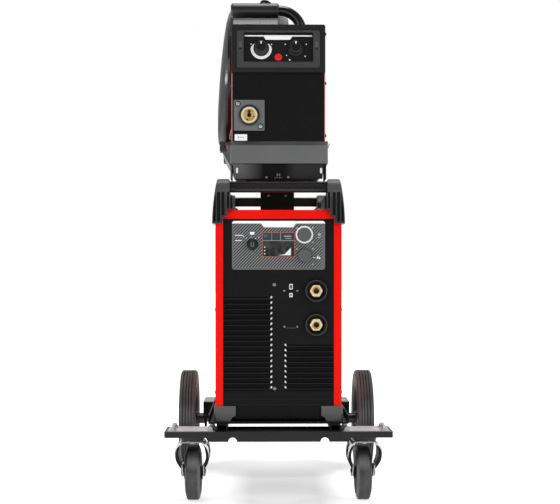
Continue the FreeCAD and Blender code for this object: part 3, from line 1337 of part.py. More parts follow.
def dome_sections(inset):
    """Left outline of the cover: (x, top of the ring, bottom of the ring), from the seam outwards."""
    top = SPOOL_Z + HOOD_R
    low = SPOOL_Z - HOOD_R
    left = -BOX_HALF - SEAT - DOOR_SHEET
    rings = [(left, top, low), (left - 7, top - 3, low - 5), (left - 13, top - 11, low - 9),
             (left - 19, top - 34, low - 12), (left - 25, top - 70, low - 13),
             (left - 31, top - 120, low - 11),
             (left - 36, top - 175, low - 7), (left - 40, top - 235, low - 1),
             (left - 41.5, top - 285, low + 22)]
    return [(x + inset * 0.8, high - inset, under + inset) for x, high, under in rings]


def dome(inset):
    wires = []
    for x, high, under in dome_sections(inset):
        r = (high - under) / 2
        centre = Vector(x, SPOOL_Y, (high + under) / 2)
        wires.append(Part.Wire(Part.makeCircle(r, centre, Vector(-1, 0, 0))))
    return Part.makeLoft(wires, True, True)


# Spool cover: the domed moulding on the door, with the half of the hood over the roof in one piece
def spool_cover():
    left = -BOX_HALF - SEAT - DOOR_SHEET
    shell = dome(0).cut(dome(HOOD_WALL))
    ring = spool_clear(HOOD_R, left, SEAM_X - SEAT).cut(spool_clear(HOOD_R - HOOD_WALL, left - 1,
                                                                    SEAM_X + 1))
    above = box((left, SEAM_X), (SPOOL_Y - HOOD_R - 1, SPOOL_Y + HOOD_R + 1),
                (BOX_TOP + SEAT, SPOOL_Z + HOOD_R + 1))
    return joined(shell, ring.common(above))


# Fixed half of the hood on the roof, with a rounded shoulder and a lug on its crest
def spool_hood():
    right = PARTITION_X + HOOD_OVERLAP
    r = HOOD_R
    wall = HOOD_WALL
    outer = turned_x((SEAM_X, 0), [(SEAM_X, r), (right - 34, r), ((right - 12, r - 8), (right, r - 32)),
                                   (right, 0)],
                     0, SPOOL_Y, SPOOL_Z)
    inner = turned_x((SEAM_X - 1, 0), [(SEAM_X - 1, r - wall), (right - 34, r - wall),
                                       ((right - 13, r - 11), (right - wall, r - 34)), (right - wall, 0)],
                     0, SPOOL_Y, SPOOL_Z)
    above = box((SEAM_X - 2, right + 1), (SPOOL_Y - r - 1, SPOOL_Y + r + 1),
                (BOX_TOP + SEAT, SPOOL_Z + r + 1))
    hood = outer.cut(inner).common(above)
    y = SPOOL_Y - LUG_FORWARD
    crest = SPOOL_Z + math.sqrt(r * r - LUG_FORWARD * LUG_FORWARD)
    top = crest + LUG_RISE
    end = SEAM_X + LUG_WIDTH
    lug = prism_y((SEAM_X, crest - 12),
                  [(SEAM_X, top - 10), ((SEAM_X + 2.9, top - 2.9), (SEAM_X + 10, top)),
                   ((end - 7, top - 5.5), (end, top - 18)), (end, crest - 12)],
                  y - LUG_THICKNESS / 2, y + LUG_THICKNESS / 2)
    return joined(hood, lug.cut(spool_clear(r - 1, SEAM_X - 1, right)))


# Brake hub: adaptor that the spool slides on, fixed to the partition, with its locking nut
def spool_hub():
    inner_face = SPOOL_LEFT + SPOOL_WIDTH + SEAT
    nut = SPOOL_LEFT - SEAT
    end = nut - HUB_NUT_LENGTH
    r = SPOOL_BORE_R - RUNNING
    steps = [(PARTITION_X, HUB_FLANGE_R), (inner_face, HUB_FLANGE_R), (inner_face, r), (nut, r),
             (nut, HUB_NUT_R),
             (nut - HUB_NUT_LENGTH / 2, HUB_NUT_R), (end, HUB_NUT_R * 0.8), (end, 0)]
    return turned_x((PARTITION_X, 0), steps, 0, SPOOL_Y, SPOOL_Z)


# Plastic spool: two flanges with round windows on a hollow core
def wire_spool():
    x0 = SPOOL_LEFT
    x1 = SPOOL_LEFT + SPOOL_WIDTH
    t = SPOOL_FLANGE
    steps = [(x0, SPOOL_R), (x0 + t, SPOOL_R), (x0 + t, SPOOL_CORE_R), (x1 - t, SPOOL_CORE_R),
             (x1 - t, SPOOL_R),
             (x1, SPOOL_R), (x1, SPOOL_BORE_R)]
    spool = turned_x((x0, SPOOL_BORE_R), steps, 0, SPOOL_Y, SPOOL_Z)
    holes = []
    for k in range(3):
        hole = rod_x(0, SPOOL_HOLE_CIRCLE, SPOOL_HOLE_R, x0 - 1, x0 + t + 1)
        hole.rotate(Vector(0, 0, 0), Vector(1, 0, 0), 120 * k)
        hole.translate(Vector(0, SPOOL_Y, SPOOL_Z))
        holes.append(hole)
    return spool.cut(holes)


def wire_winding():
    x0 = SPOOL_LEFT + SPOOL_FLANGE
    x1 = SPOOL_LEFT + SPOOL_WIDTH - SPOOL_FLANGE
    steps = [(x0, WINDING_R), (x1, WINDING_R), (x1, SPOOL_CORE_R)]
    return turned_x((x0, SPOOL_CORE_R), steps, 0, SPOOL_Y, SPOOL_Z)


def drive_axis_z():
    """Height of the driven roll's shaft: its rim just touches the wire line from below."""
    return TORCH_Z - WIRE_GAP / 2 - ROLL_R


# Wire drive: cast plate on the partition, gearbox and motor behind it, roll shaft and inlet guide in front
def wire_drive():
    z = drive_axis_z()
    x0 = DRIVE_PLATE_X
    x1 = x0 + DRIVE_PLATE_THICKNESS
    half = DRIVE_PLATE_LENGTH / 2
    low = z - DRIVE_PLATE_BELOW
    high = z + DRIVE_PLATE_ABOVE
    plate = rounded(box((x0, x1), (DRIVE_Y - half, DRIVE_Y + half), (low, high)), 8, along_x)
    gearbox = rod_x(DRIVE_Y, z, MOTOR_R - 2, x1 - 1, x1 + GEARBOX_LENGTH)
    motor = rod_x(DRIVE_Y, z, MOTOR_R, x1 + GEARBOX_LENGTH - 1, x1 + MOTOR_LENGTH)
    shaft = rod_x(DRIVE_Y, z, ROLL_SHAFT_R, TORCH_X - ROLL_WIDTH / 2 - 4, x0 + 1)
    pivot = rod_x(DRIVE_Y - ARM_PIVOT_BACK, z + ARM_PIVOT_RISE, PIN_R, x0 - SEAT - ARM_THICKNESS - 3, x0 + 1)
    guide_end = DRIVE_Y + GUIDE_REACH
    guide = rod_y(TORCH_X, TORCH_Z, GUIDE_R, DRIVE_Y + ROLL_R + 3, guide_end)
    foot = box((TORCH_X, x0 + 1), (guide_end - 18, guide_end - 6),
               (TORCH_Z - GUIDE_R, TORCH_Z + GUIDE_R - 1))
    posts = [rod_x(y, level, POST_R, x1 - 1, PARTITION_X)
             for y in (DRIVE_Y - half + POST_INSET, DRIVE_Y + half - POST_INSET)
             for level in (low + POST_INSET, high - POST_INSET)]
    body = joined(plate, gearbox, motor, shaft, pivot, guide, foot, *posts)
    return body.cut(rod_y(TORCH_X, TORCH_Z, WIRE_HOLE_R, DRIVE_Y, guide_end + 1))


def feed_roll(z, bore):
    """Grooved roll; its middle plane is the wire line."""
    half = ROLL_WIDTH / 2
    r = ROLL_R
    steps = [(-half, r - 1), (-half + 1, r), (-1, r), (0, r - 0.8), (1, r), (half - 1, r), (half, r - 1),
             (half, bore)]
    return turned_x((-half, bore), steps, TORCH_X, DRIVE_Y, z)


def feed_roll_lower():
    return feed_roll(drive_axis_z(), ROLL_SHAFT_R + RUNNING)


def upper_roll_z():
    return TORCH_Z + WIRE_GAP / 2 + ROLL_R


def feed_roll_upper():
    return feed_roll(upper_roll_z(), PIN_R + RUNNING)


# Pressure arm: rocks on the pivot at its front, carries the upper roll's pin and the screw at its tail
def pressure_arm():
    x1 = DRIVE_PLATE_X - SEAT
    x0 = x1 - ARM_THICKNESS
    z = drive_axis_z() + ARM_PIVOT_RISE
    y = DRIVE_Y - ARM_PIVOT_BACK
    tail = DRIVE_Y + ARM_PIVOT_BACK
    top = upper_roll_z() + ROLL_R + 4
    arm = prism_x((y, z - 9), [((y - 9, z), (y - 3, z + 9)), (DRIVE_Y - 12, top), (tail + 8, top),
                               (tail + 8, top - 12),
                               (DRIVE_Y + 12, upper_roll_z() - 8), (DRIVE_Y - 10, upper_roll_z() - 8)], x0,
                               x1)
    pin = rod_x(DRIVE_Y, upper_roll_z(), PIN_R, TORCH_X - ROLL_WIDTH / 2 - 3, x0 + 1)
    shelf = box((TORCH_X - 9, x0 + 1), (tail - 8, tail + 8), (top - 12, top))
    arm = joined(arm, pin, shelf)
    pivot_hole = rod_x(y, z, PIN_R + RUNNING, x0 - 1, x1 + 1)
    screw_hole = rod_z(TORCH_X, tail, 3 + RUNNING, top - 20, top + 1)
    return arm.cut([pivot_hole, screw_hole])


def tension_knob():
    tail = DRIVE_Y + ARM_PIVOT_BACK
    foot = upper_roll_z() + ROLL_R + 4 + SEAT
    top = foot + TENSION_HEIGHT
    knob = rod_z(TORCH_X, tail, TENSION_R, top - TENSION_GRIP, top)
    knob = knob.makeFillet(3, [e for e in knob.Edges if e.BoundBox.ZMin > top - 1])
    sleeve = rod_z(TORCH_X, tail, 7, foot, top - TENSION_GRIP + 1)
    screw = rod_z(TORCH_X, tail, 3, foot - 18, foot + 1)
    return joined(knob, sleeve, screw)


# Carry handle: bent tube welded to a foot plate on the roof
def tube_along(r):
    """A round bar that rises from the roof, bends over and runs level into the grip."""
    bend = HANDLE_RISE
    s = bend * (1 - math.sqrt(0.5))
    low = Vector(HANDLE_LEG_X, HANDLE_Y, BOX_TOP)
    middle = Vector(HANDLE_LEG_X - s, HANDLE_Y, HANDLE_Z - s)
    level = Vector(HANDLE_LEG_X - bend, HANDLE_Y, HANDLE_Z)
    end = Vector(GRIP_LEFT + GRIP_END, HANDLE_Y, HANDLE_Z)
    path = Part.Wire([Part.Arc(low, middle, level).toShape(), Part.makeLine(level, end)])
    circle = Part.Wire(Part.makeCircle(r, low, Vector(0, 0, 1)))
    return path.makePipeShell([circle], True, False)


def carry_handle():
    tube = tube_along(HANDLE_TUBE_R).cut(tube_along(HANDLE_TUBE_R - HANDLE_TUBE_WALL))
    x = (HANDLE_LEG_X - HANDLE_FOOT_LENGTH / 2, HANDLE_LEG_X + HANDLE_FOOT_LENGTH / 2)
    y = (HANDLE_Y - HANDLE_FOOT_DEPTH / 2, HANDLE_Y + HANDLE_FOOT_DEPTH / 2)
    top = BOX_TOP + HANDLE_FOOT_THICKNESS
    foot = rounded(box(x, y, (BOX_TOP, top)), 6, along_z)
    foot = foot.cut(rod_z(HANDLE_LEG_X, HANDLE_Y, HANDLE_TUBE_R - 1, BOX_TOP - 1, top + 1))
    return joined(tube, foot)


def handle_grip():
    r = GRIP_R
    left = GRIP_LEFT
    right = GRIP_RIGHT
    bore = HANDLE_TUBE_R + SLIP
    steps = [(left, r - 6), ((left + 1.8, r - 1.8), (left + 6, r)), (right - 4, r),
             ((right - 1.2, r - 1.2), (right, r - 4)), (right, bore), (left + GRIP_END - SEAT, bore),
             (left + GRIP_END - SEAT, 0)]
    return turned_x((left, 0), steps, 0, HANDLE_Y, HANDLE_Z)


NODES = {
    "front_crossmember": front_crossmember,
    "chassis_rails": chassis_rails,
    "machine_tray": machine_tray,
    "rear_axle_beam": rear_axle_beam,
    "rear_axle": rear_axle,
    "cylinder_supports": lambda: Part.Compound([cylinder_shelf(), cylinder_saddle()]),
    "caster_plates": lambda: pair_x(caster_plate()),
    "cart_bolts": cart_bolts,
    "caster_fork_left": lambda: caster_fork(-1),
    "caster_fork_right": lambda: caster_fork(1),
    "caster_hub_left": lambda: caster_hub(-1),
    "caster_hub_right": lambda: caster_hub(1),
    "caster_tyre_left": lambda: caster_tyre(-1),
    "caster_tyre_right": lambda: caster_tyre(1),
    "rear_rim_left": lambda: mirror_x(rear_rim()),
    "rear_rim_right": rear_rim,
    "rear_tyre_left": lambda: mirror_x(rear_tyre()),
    "rear_tyre_right": rear_tyre,
    "source_base": source_base,
    "source_feet": source_feet,
    "source_cover": source_cover,
    "front_panel": front_panel,
    "rear_panel": rear_panel,
    "handle_ends": handle_ends,
    "handle_bars": handle_bars,
    "control_plate": control_plate,
    "display_unit": display_unit,
    "selector_knob": selector_knob,
    "encoder_upper": lambda: encoder_knob(ENCODER_UPPER_Z),
    "encoder_lower": lambda: encoder_knob(ENCODER_LOWER_Z),
    "socket_shells": socket_shells,
    "socket_contacts": socket_contacts,
    "fan_rotor": fan_rotor,
    "main_transformer": main_transformer,
    "main_switch": main_switch,
    "feeder_pedestal": feeder_pedestal,
    "turntable_frame": turntable_frame,
    "feeder_base": feeder_base,
    "feeder_chassis": feeder_chassis,
    "feeder_side_panel": feeder_side_panel,
    "feeder_door": feeder_door,
    "feeder_front_panel": feeder_front_panel,
    "feeder_fascia": feeder_fascia,
    "feeder_knob_left": lambda: feeder_knob(-FEEDER_KNOB_X),
    "feeder_knob_right": lambda: feeder_knob(FEEDER_KNOB_X),
    "test_button": test_button,
    "euro_plate": euro_plate,
    "euro_socket": euro_socket,
    "spool_hood": spool_hood,
    "spool_cover": spool_cover,
    "spool_hub": spool_hub,
    "wire_spool": wire_spool,
    "wire_winding": wire_winding,
    "wire_drive": wire_drive,
    "feed_roll_lower": feed_roll_lower,
    "feed_roll_upper": feed_roll_upper,
    "pressure_arm": pressure_arm,
    "tension_knob": tension_knob,
    "carry_handle": carry_handle,
    "handle_grip": handle_grip,
}

os.makedirs("parts", exist_ok=True)
for node, make in NODES.items():
    shape = make()
    if not shape.isValid() or not shape.Solids:
        print(node, "is not a valid solid")
    shape.exportStep("parts/" + node + ".step")
print(len(NODES), "nodes")
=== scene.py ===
import math

import bmesh
import bpy
import numpy as np
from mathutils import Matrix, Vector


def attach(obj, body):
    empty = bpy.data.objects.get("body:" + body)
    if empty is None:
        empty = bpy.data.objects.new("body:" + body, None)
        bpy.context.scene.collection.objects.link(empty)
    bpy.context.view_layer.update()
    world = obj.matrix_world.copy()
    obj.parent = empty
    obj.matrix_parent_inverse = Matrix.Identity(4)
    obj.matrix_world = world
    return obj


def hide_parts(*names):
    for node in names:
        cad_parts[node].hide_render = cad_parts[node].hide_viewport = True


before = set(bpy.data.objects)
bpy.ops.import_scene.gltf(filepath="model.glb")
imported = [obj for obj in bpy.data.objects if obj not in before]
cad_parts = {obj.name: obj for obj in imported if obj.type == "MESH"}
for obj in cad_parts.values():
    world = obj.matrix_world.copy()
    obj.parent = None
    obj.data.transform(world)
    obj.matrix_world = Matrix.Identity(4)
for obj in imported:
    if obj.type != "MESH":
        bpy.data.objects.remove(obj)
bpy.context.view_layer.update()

# A two-part MIG welder: a power source on a four-wheel cart, with a separate wire feeder on top.
# Meshes are worked out in millimetres in the CAD frame, front towards -Y, and turned into metres as they are made.


# Studio: white floor and white surround, with a darker room behind the camera, as black panels show it.
# Two tall softboxes stand in front, one hangs overhead, and a small one each side lights the edges.
class Wire:
    """One socket in a node tree. Sums, products and comparisons on it add Math nodes."""

    def __init__(self, tree, socket=None):
        self.tree = tree
        self.socket = socket

    def node(self, kind, values=None, out=0, **settings):
        """Adds a node of a type, its settings first, then the links or values of its sockets, and gives one output. A
        value in hex digits is a colour."""
        made = self.tree.nodes.new("ShaderNode" + kind)
        for name, value in settings.items():
            setattr(made, name, value)
        for name, value in (values or {}).items():
            if isinstance(value, Wire):
                self.tree.links.new(value.socket, made.inputs[name])
            else:
                made.inputs[name].default_value = shade(value) if isinstance(value, str) else value
        return Wire(self.tree, made.outputs[out] if made.outputs else None)

    def others(self, *names):
        """Other outputs of the same node."""
        return [Wire(self.tree, self.socket.node.outputs[name]) for name in names]

    def axes(self):
        """The x, y and z of a vector."""
        x = self.node("SeparateXYZ", {0: self})
        return x, *x.others(1, 2)

    def math(self, operation, *values, clamp=False):
        return self.node("Math", dict(enumerate(values)), operation=operation, use_clamp=clamp)

    def __add__(self, other):
        return self.math("ADD", self, other)

    def __sub__(self, other):
        return self.math("SUBTRACT", self, other)

    def __rsub__(self, other):
        return self.math("SUBTRACT", other, self)

    def __mul__(self, other):
        return self.math("MULTIPLY", self, other)

    def __abs__(self):
        return self.math("ABSOLUTE", self)

    def __gt__(self, other):
        return self.math("GREATER_THAN", self, other)

    def __lt__(self, other):
        return self.math("LESS_THAN", self, other)

    __radd__ = __add__
    __rmul__ = __mul__

    def rise(self, low, high):
        """0 below low, 1 above high, straight between; with low above high it falls."""
        return self.math("MULTIPLY_ADD", self, 1 / (high - low), -low / (high - low), clamp=True)

    def most(self, other):
        return self.math("MAXIMUM", self, other)

    def mix(self, first, second):
        """A colour between two, by this factor."""
        return self.node("Mix", {0: self, 6: first, 7: second}, out=2, data_type="RGBA")

    def tint(self, code, low, high):
        """One colour between two gains, by this factor."""
        return self.mix(shade(code, low), shade(code, high))


def shade(code, gain=1.0):
    """Colour written as in a paint chart, six hex digits, as the linear values that nodes take."""
    parts = np.array([int(code[k:k + 2], 16) / 255 for k in (0, 2, 4)])
    linear = np.where(parts <= 0.04045, parts / 12.92, ((parts + 0.055) / 1.055) ** 2.4) * gain
    return (*linear.tolist(), 1.0)


def seen_directly(start):
    """1 or 0 each: whether a ray comes from the camera, from a glossy surface, and through glass."""
    path = start.node("LightPath", out="Is Camera Ray")
    return path, *path.others("Is Glossy Ray", "Is Transmission Ray")


def light_surround():
    """White where it is seen straight, dimmer behind the camera where it is mirrored, and a soft fill otherwise."""
    world = bpy.data.worlds.new("surround")
    bpy.context.scene.world = world
    world.use_nodes = True
    world.node_tree.nodes.clear()
    start = Wire(world.node_tree)
    camera_ray, glossy, through = seen_directly(start)
    _, depth, _ = start.node("TexCoord", out="Generated").axes()
    behind_camera = depth.rise(0.8, -0.1)
    mirrored = glossy * (0.95 - 0.83 * behind_camera)
    straight = camera_ray.most(through)
    fill = (1 - straight.most(glossy)) * 0.4
    background = start.node("Background", {"Color": "ffffff", "Strength": straight.most(mirrored) + fill})
    start.node("OutputWorld", {"Surface": background})


def put_in_scene(name, data):
    made = bpy.data.objects.new(name, data)
    bpy.context.scene.collection.objects.link(made)
    return made


def hang_lamp(name, place, level, width, height, power):
    """A rectangle of light, unseen itself, that looks at the machine's axis at a level."""
    lamp = bpy.data.lights.new(name, "AREA")
    lamp.shape = "RECTANGLE"
    lamp.size = width
    lamp.size_y = height
    lamp.energy = power
    holder = put_in_scene(name, lamp)
    holder.location = place
    towards = Vector((0, 0, level)) - Vector(place)
    holder.rotation_mode = "QUATERNION"
    holder.rotation_quaternion = towards.to_track_quat("-Z", "Y")
    holder.visible_camera = False


def new_finish(name):
    made = bpy.data.materials.new(name)
    made.use_nodes = True
    made.node_tree.nodes.clear()
    return made, Wire(made.node_tree)


def spots(where, size, detail=2.0):
    """Cloudy noise whose lumps are about this many millimetres across."""
    return where.node("TexNoise", {"Vector": where, "Scale": 1000.0 / size, "Detail": detail})


def lay_floor():
    """Matt white, lit from within where it is seen. It is brighter away from the middle, and brighter beside the cart
    and behind it as painted light; under the machine it is darker as a painted shadow."""
    made, start = new_finish("studio_floor")
    camera_ray, glossy, through = seen_directly(start)
    spot = start.node("TexCoord", out="Object")
    x, y, _ = spot.axes()
    pale = (0.5 + spots(spot, 500.0, 3.0) * 0.3).mix("e4e4e4", "ececec")
    matt = start.node("BsdfDiffuse", {"Color": pale})
    away = start.node("VectorMath", {0: spot}, out=1, operation="LENGTH")
    aside = abs(x - 0.015)
    # Painted shadow under the machine; painted light beside the cart and behind it thins the shadow there.
    painted_floor_shadow = aside.rise(0.15, 0.08) * y.rise(0.15, -0.1)
    beside = aside.rise(0.08, 0.13) * aside.rise(0.2, 0.16) * y.rise(0.1, -0.05)
    behind = y.rise(0.06, 0.28) * abs(x).rise(0.4, 0.3)
    glow = 0.6 + away.rise(0.5, 2.2) * 0.4 - painted_floor_shadow * 0.18 + beside * 0.15 + behind * 0.2
    seen = camera_ray.most(glossy).most(through)
    lift = start.node("Emission", {"Color": "ffffff", "Strength": seen * glow})
    start.node("OutputMaterial", {"Surface": start.node("AddShader", {0: matt, 1: lift})})
    half_width = 40.0
    corners = np.array([[-1, -1, 0], [1, -1, 0], [1, 1, 0], [-1, 1, 0]]) * half_width
    mesh = bpy.data.meshes.new("studio_floor")
    mesh.from_pydata(corners, [], [(0, 1, 2, 3)])
    mesh.materials.append(made)
    floor = put_in_scene("studio_floor", mesh)


SIDES = (("left", -1), ("right", 1))
light_surround()
lay_floor()
for which, side in SIDES:
    hang_lamp(which + "_softbox", (side * 2.3, -2.6, 1.5), level=0.6, width=1.2, height=2.2, power=29)
hang_lamp("top_softbox", (0.05, -0.2, 3.2), level=0.6, width=1.0, height=1.0, power=38)
for which, side in SIDES:
    hang_lamp(which + "_strip", (side * 1.9, 0.5, 1.3), level=0.9, width=0.3, height=0.5, power=9)

# The camera stands 2.7 m in front of the crossmember and 0.51 m up, level, 3 cm left of the middle. Its picture is
# raised by 25 of the 560 pixels that it is wide.
camera_data = bpy.data.cameras.new("camera")
camera_data.lens = 77.8
camera_data.sensor_width = 36.0
camera_data.shift_y = 25 / 560
camera = put_in_scene("camera", camera_data)
camera.location = (-0.034, -3.13, 0.512)
camera.rotation_euler = (math.pi / 2, 0, math.radians(-0.78))
bpy.context.scene.camera = camera
bpy.context.scene.view_settings.view_transform = "Standard"


# Cart frame: crossmember, rails, tray, axle beam and gas shelf, bent from 3 mm sheet and welded.
# Black powder coat with a fine orange peel; dust settles on what faces up.
def bumps(height, strength, depth, rounding=0.0):
    """A normal pushed in and out by a height, this many millimetres deep. Where a rounding is given, edges are turned
    first as if they had that radius."""
    values = {"Height": height, "Strength": strength, "Distance": depth * 0.001}
    if rounding:
        values["Normal"] = height.node("Bevel", {"Radius": rounding * 0.001}, samples=6)
    return height.node("Bump", values)


def normal_parts(spot):
    """The x, y and z of the surface's own normal."""
    return spot.node("NewGeometry", out="Normal").axes()


def surface(recipe):
    """Makes a recipe into a function that takes a material's name and the recipe's details. A recipe is given the
    spot, its place in the CAD frame in metres, and gives the values of the shader's sockets."""
    def make(name, *details, **named):
        made, start = new_finish(name)
        values = recipe(start.node("TexCoord", out="Object"), *details, **named)
        start.node("OutputMaterial", {"Surface": start.node("BsdfPrincipled", values)})
        return made
    return make


@surface
def powder_coat(spot, colour, gloss, dust, peel=1.6, depth=0.1, specular=0.35, glaze=0.0):
    """Paint baked from powder: noise the size of the peel makes the bump and breaks up the gloss, and a wider one
    shifts the colour a little. Dust is a pale veil where the surface faces up, and glaze a gloss coat there;
    underneath the coat is dull."""
    fine = spots(spot, peel)
    wide = spots(spot, 90.0, 3.0)
    _, _, up = normal_parts(spot)
    veil = up.rise(0.6, 1.0) * wide.rise(0.2, 0.8) * dust
    under = up.rise(-0.6, -0.9)
    body = wide.rise(0.35, 0.65).tint(colour, 0.96, 1.04)
    over = {"Coat Weight": up.rise(0.6, 0.9) * glaze, "Coat Roughness": 0.3} if glaze else {}
    return over | {
        "Base Color": veil.mix(body, "a39f98"),
        "Roughness": gloss + (fine - 0.5) * 0.12 + (wide - 0.5) * 0.06 + veil * 0.3 + under * 0.5,
        "Specular IOR Level": specular,
        "Normal": bumps(fine, 0.35, depth, 0.8)}


def dress(made, *nodes):
    """Gives CAD nodes a finish, in the material slots they came with."""
    for name in nodes:
        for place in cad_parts[name].material_slots:
            place.material = made


dress(powder_coat("cart_paint", "131314", gloss=0.3, dust=0.3, specular=0.5), "cylinder_supports")
dress(powder_coat("beam_paint", "080808", gloss=0.45, dust=0.3, specular=0.08, glaze=1.0), "rear_axle_beam")
dress(powder_coat("cross_paint", "2b2b2c", gloss=0.42, dust=0.2, specular=0.15), "front_crossmember")
dress(powder_coat("tray_paint", "0e0e0f", gloss=0.5, dust=0.04, specular=0.12), "chassis_rails", "machine_tray")


# Caster hardware: top plates, bolts with cap nuts on washers, forks pressed from sheet, all zinc plated.
# The bright zinc has a faint cloud from the bath; the forks carry a painted dark reflection within their pressed
# edges.
@surface
def plated(spot, colour, gloss, cloud, metallic=1.0):
    """Plated metal: wide noise shifts tone and gloss, small cells give the crystals of the plating."""
    wide = spots(spot, cloud, 3.0)
    grain, _, _ = spot.node("TexVoronoi", {"Vector": spot, "Scale": 220.0}, out=1).axes()
    tone = (wide * 0.7 + grain * 0.3).rise(0.25, 0.75)
    return {
        "Base Color": tone.tint(colour, 0.8, 1.08),
        "Metallic": metallic,
        "Roughness": gloss + (wide - 0.5) * 0.2 + grain * 0.06,
        "Normal": bumps(wide, 0.15, 0.4)}


def rings_to_faces(rings, steps, closed):
    """Four-sided faces between neighbouring rings of points. A closed profile joins its last ring to its first; an
    open one gets a flat face on each end."""
    ring = np.arange(rings if closed else rings - 1)[:, None]
    step = np.arange(steps)[None, :]
    after = (step + 1) % steps
    above = (ring + 1) % rings
    quads = np.stack([ring * steps + step, ring * steps + after, above * steps + after, above * steps + step], -1)
    last = (rings - 1) * steps
    ends = [] if closed else [list(range(steps)), list(range(last, last + steps))]
    return quads.reshape(-1, 4).tolist() + ends


def round_turn(steps):
    """Angles spaced evenly once round."""
    return np.arange(steps) * 2 * math.pi / steps


def turned(profile, centre, axis=1, steps=48, closed=False, lobes=(0,)):
    """A profile of (distance along the axis, radius) carried round the axis: each point goes round a circle of its
    radius. Lobes, none or one number a point, swell the circle six times a turn."""
    profile = np.asarray(profile, float)
    turn = round_turn(steps)
    radius = profile[:, 1, None] * (1 + np.array(lobes)[:, None] * np.cos(6 * turn))
    points = np.zeros((len(profile), steps, 3))
    points[..., axis] = profile[:, 0, None]
    points[..., (axis + 1) % 3] = radius * np.cos(turn)
    points[..., (axis + 2) % 3] = radius * np.sin(turn)
    return points.reshape(-1, 3) + np.asarray(centre, float), rings_to_faces(len(profile), steps, closed)


def together(*solids):
    """Several closed shapes in one mesh: points stacked, each shape's faces counted on from the ones before."""
    points, faces, count = [], [], 0
    for some, own in solids:
        points.append(some)
        faces += [[corner + count for corner in face] for face in own]
        count += len(some)
    return np.concatenate(points), faces


def piece(name, solid, made, body, sharp=32, bevel=0.0):
    """Puts a shape in the scene: millimetres to metres, faces outwards, smooth but for its sharp edges."""
    points, faces = solid
    mesh = bpy.data.meshes.new(name)
    mesh.from_pydata(points * 0.001, [], faces)
    work = bmesh.new()
    work.from_mesh(mesh)
    bmesh.ops.recalc_face_normals(work, faces=work.faces)
    work.to_mesh(mesh)
    work.free()
    mesh.shade_smooth()
    mesh.set_sharp_from_angle(angle=math.radians(sharp))
    mesh.materials.append(made)
    made_object = put_in_scene(name, mesh)
    if bevel:
        edge = made_object.modifiers.new("edge", "BEVEL")
        edge.width = bevel * 0.001
        edge.segments = 2
        edge.limit_method = "ANGLE"
    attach(made_object, body)
    return made_object


@surface
def zinc_with_painted_shading(spot, middle):
    """Pressed and plated legs either side of a middle plane: a painted dark reflection within the turned-out edges,
    bright outside a curve u^3 + v^3 = 1 of the distances across and up, and a painted highlight along a line beside
    the wheel. The crown is painted duller and the swivel above it dark, as painted shade."""
    x, _, z = spot.axes()
    bright = "d2d3d4"
    half_width, widest_level, above, below = 0.0375, 0.102, 1 / 27.0, 1 / 21.0
    out = abs(x - middle * 0.001)
    across = out * (1 / half_width)
    high = z - widest_level
    upright = (high * (1 / above)).most(high * (-1 / below))
    # Painted dark reflection inside the curve, broken by a painted highlight line beside the wheel.
    dark_reflection_area = (across * across * across + upright * upright * upright).rise(1.06, 0.98)
    dark_reflection_area = dark_reflection_area.most(z.rise(0.08, 0.075) * out.rise(0.0275, 0.0265))
    line = out.rise(0.0228, 0.0236) * out.rise(0.0258, 0.025)
    painted_dark_reflection = dark_reflection_area * (1 - line)
    wide = spots(spot, 22.0, 3.0)
    legs = painted_dark_reflection.mix(wide.rise(0.3, 0.7).tint(bright, 1.0, 0.82), "050505")
    # Painted shade: the crown is dimmed and the swivel above it is turned dark.
    crown = z.rise(0.1375, 0.1385).mix(legs, shade(bright, 0.36))
    return {
        "Base Color": z.rise(0.1424, 0.143).mix(crown, "2c2c2d"),
        "Metallic": 0.8,
        "Roughness": 0.24 + (wide - 0.5) * 0.14 + painted_dark_reflection * 0.2,
        "Normal": bumps(wide, 0.12, 0.3)}


CASTER_X = 195.0
CASTER_Y = -378.0
zinc = plated("zinc", "c2c3c4", gloss=0.3, cloud=22.0, metallic=0.5)
dress(zinc, "caster_plates", "cart_bolts")
for which, side in SIDES:
    dress(zinc_with_painted_shading("fork_zinc_" + which, middle=side * CASTER_X), "caster_fork_" + which)


def prism(outline, low, high, axis=1):
    """A flat outline carried along one axis: its points at both ends, a wall between them, a face on each end."""
    count = len(outline)
    points = np.zeros((2, count, 3))
    points[..., axis] = np.array([low, high])[:, None]
    points[..., [k for k in range(3) if k != axis]] = outline
    here = np.arange(count)
    after = (here + 1) % count
    walls = np.stack([here, after, after + count, here + count], 1).tolist()
    return points.reshape(-1, 3), walls + [here[::-1].tolist(), (here + count).tolist()]


def arc(cx, cz, r, turn):
    """Points round a centre at one distance, or at one for each, under these angles."""
    return np.stack([cx + r * np.cos(turn), cz + r * np.sin(turn)], 1)


def rounded_block(x, z, r, steps=6):
    """Outline of a rectangle with round corners: a quarter circle at each corner, centred r inside it."""
    quarter = np.linspace(0, math.pi / 2, steps)
    corners = [(x[1] - r, z[1] - r), (x[0] + r, z[1] - r), (x[0] + r, z[0] + r), (x[1] - r, z[0] + r)]
    return np.concatenate([arc(*corner, r, quarter + k * math.pi / 2) for k, corner in enumerate(corners)])


CROSS_TOP = 166.0
BACKING = 1.5
bolt_places = [(side * CASTER_X + dx, CASTER_Y + dy) for side in (-1, 1) for dx in (-43, 43) for dy in (-30, 30)]
washer = [(0.02, 4.2), (0.02, 9.5), (1.4, 9.5), (1.4, 4.2)]
washers = [turned(washer, (x, y, CROSS_TOP + BACKING), axis=2, steps=32, closed=True) for x, y in bolt_places]
piece("cap_nut_washers", together(*washers), zinc, "machine")
for which, side in SIDES:
    middle = side * CASTER_X
    outline = rounded_block((middle - 54.0, middle + 54.0), (CASTER_Y - 44.0, CASTER_Y + 44.0), 7.0)
    plate = prism(outline, CROSS_TOP + 0.02, CROSS_TOP + BACKING, axis=2)
    piece("backing_plate_" + which, plate, zinc, "machine", bevel=0.3)


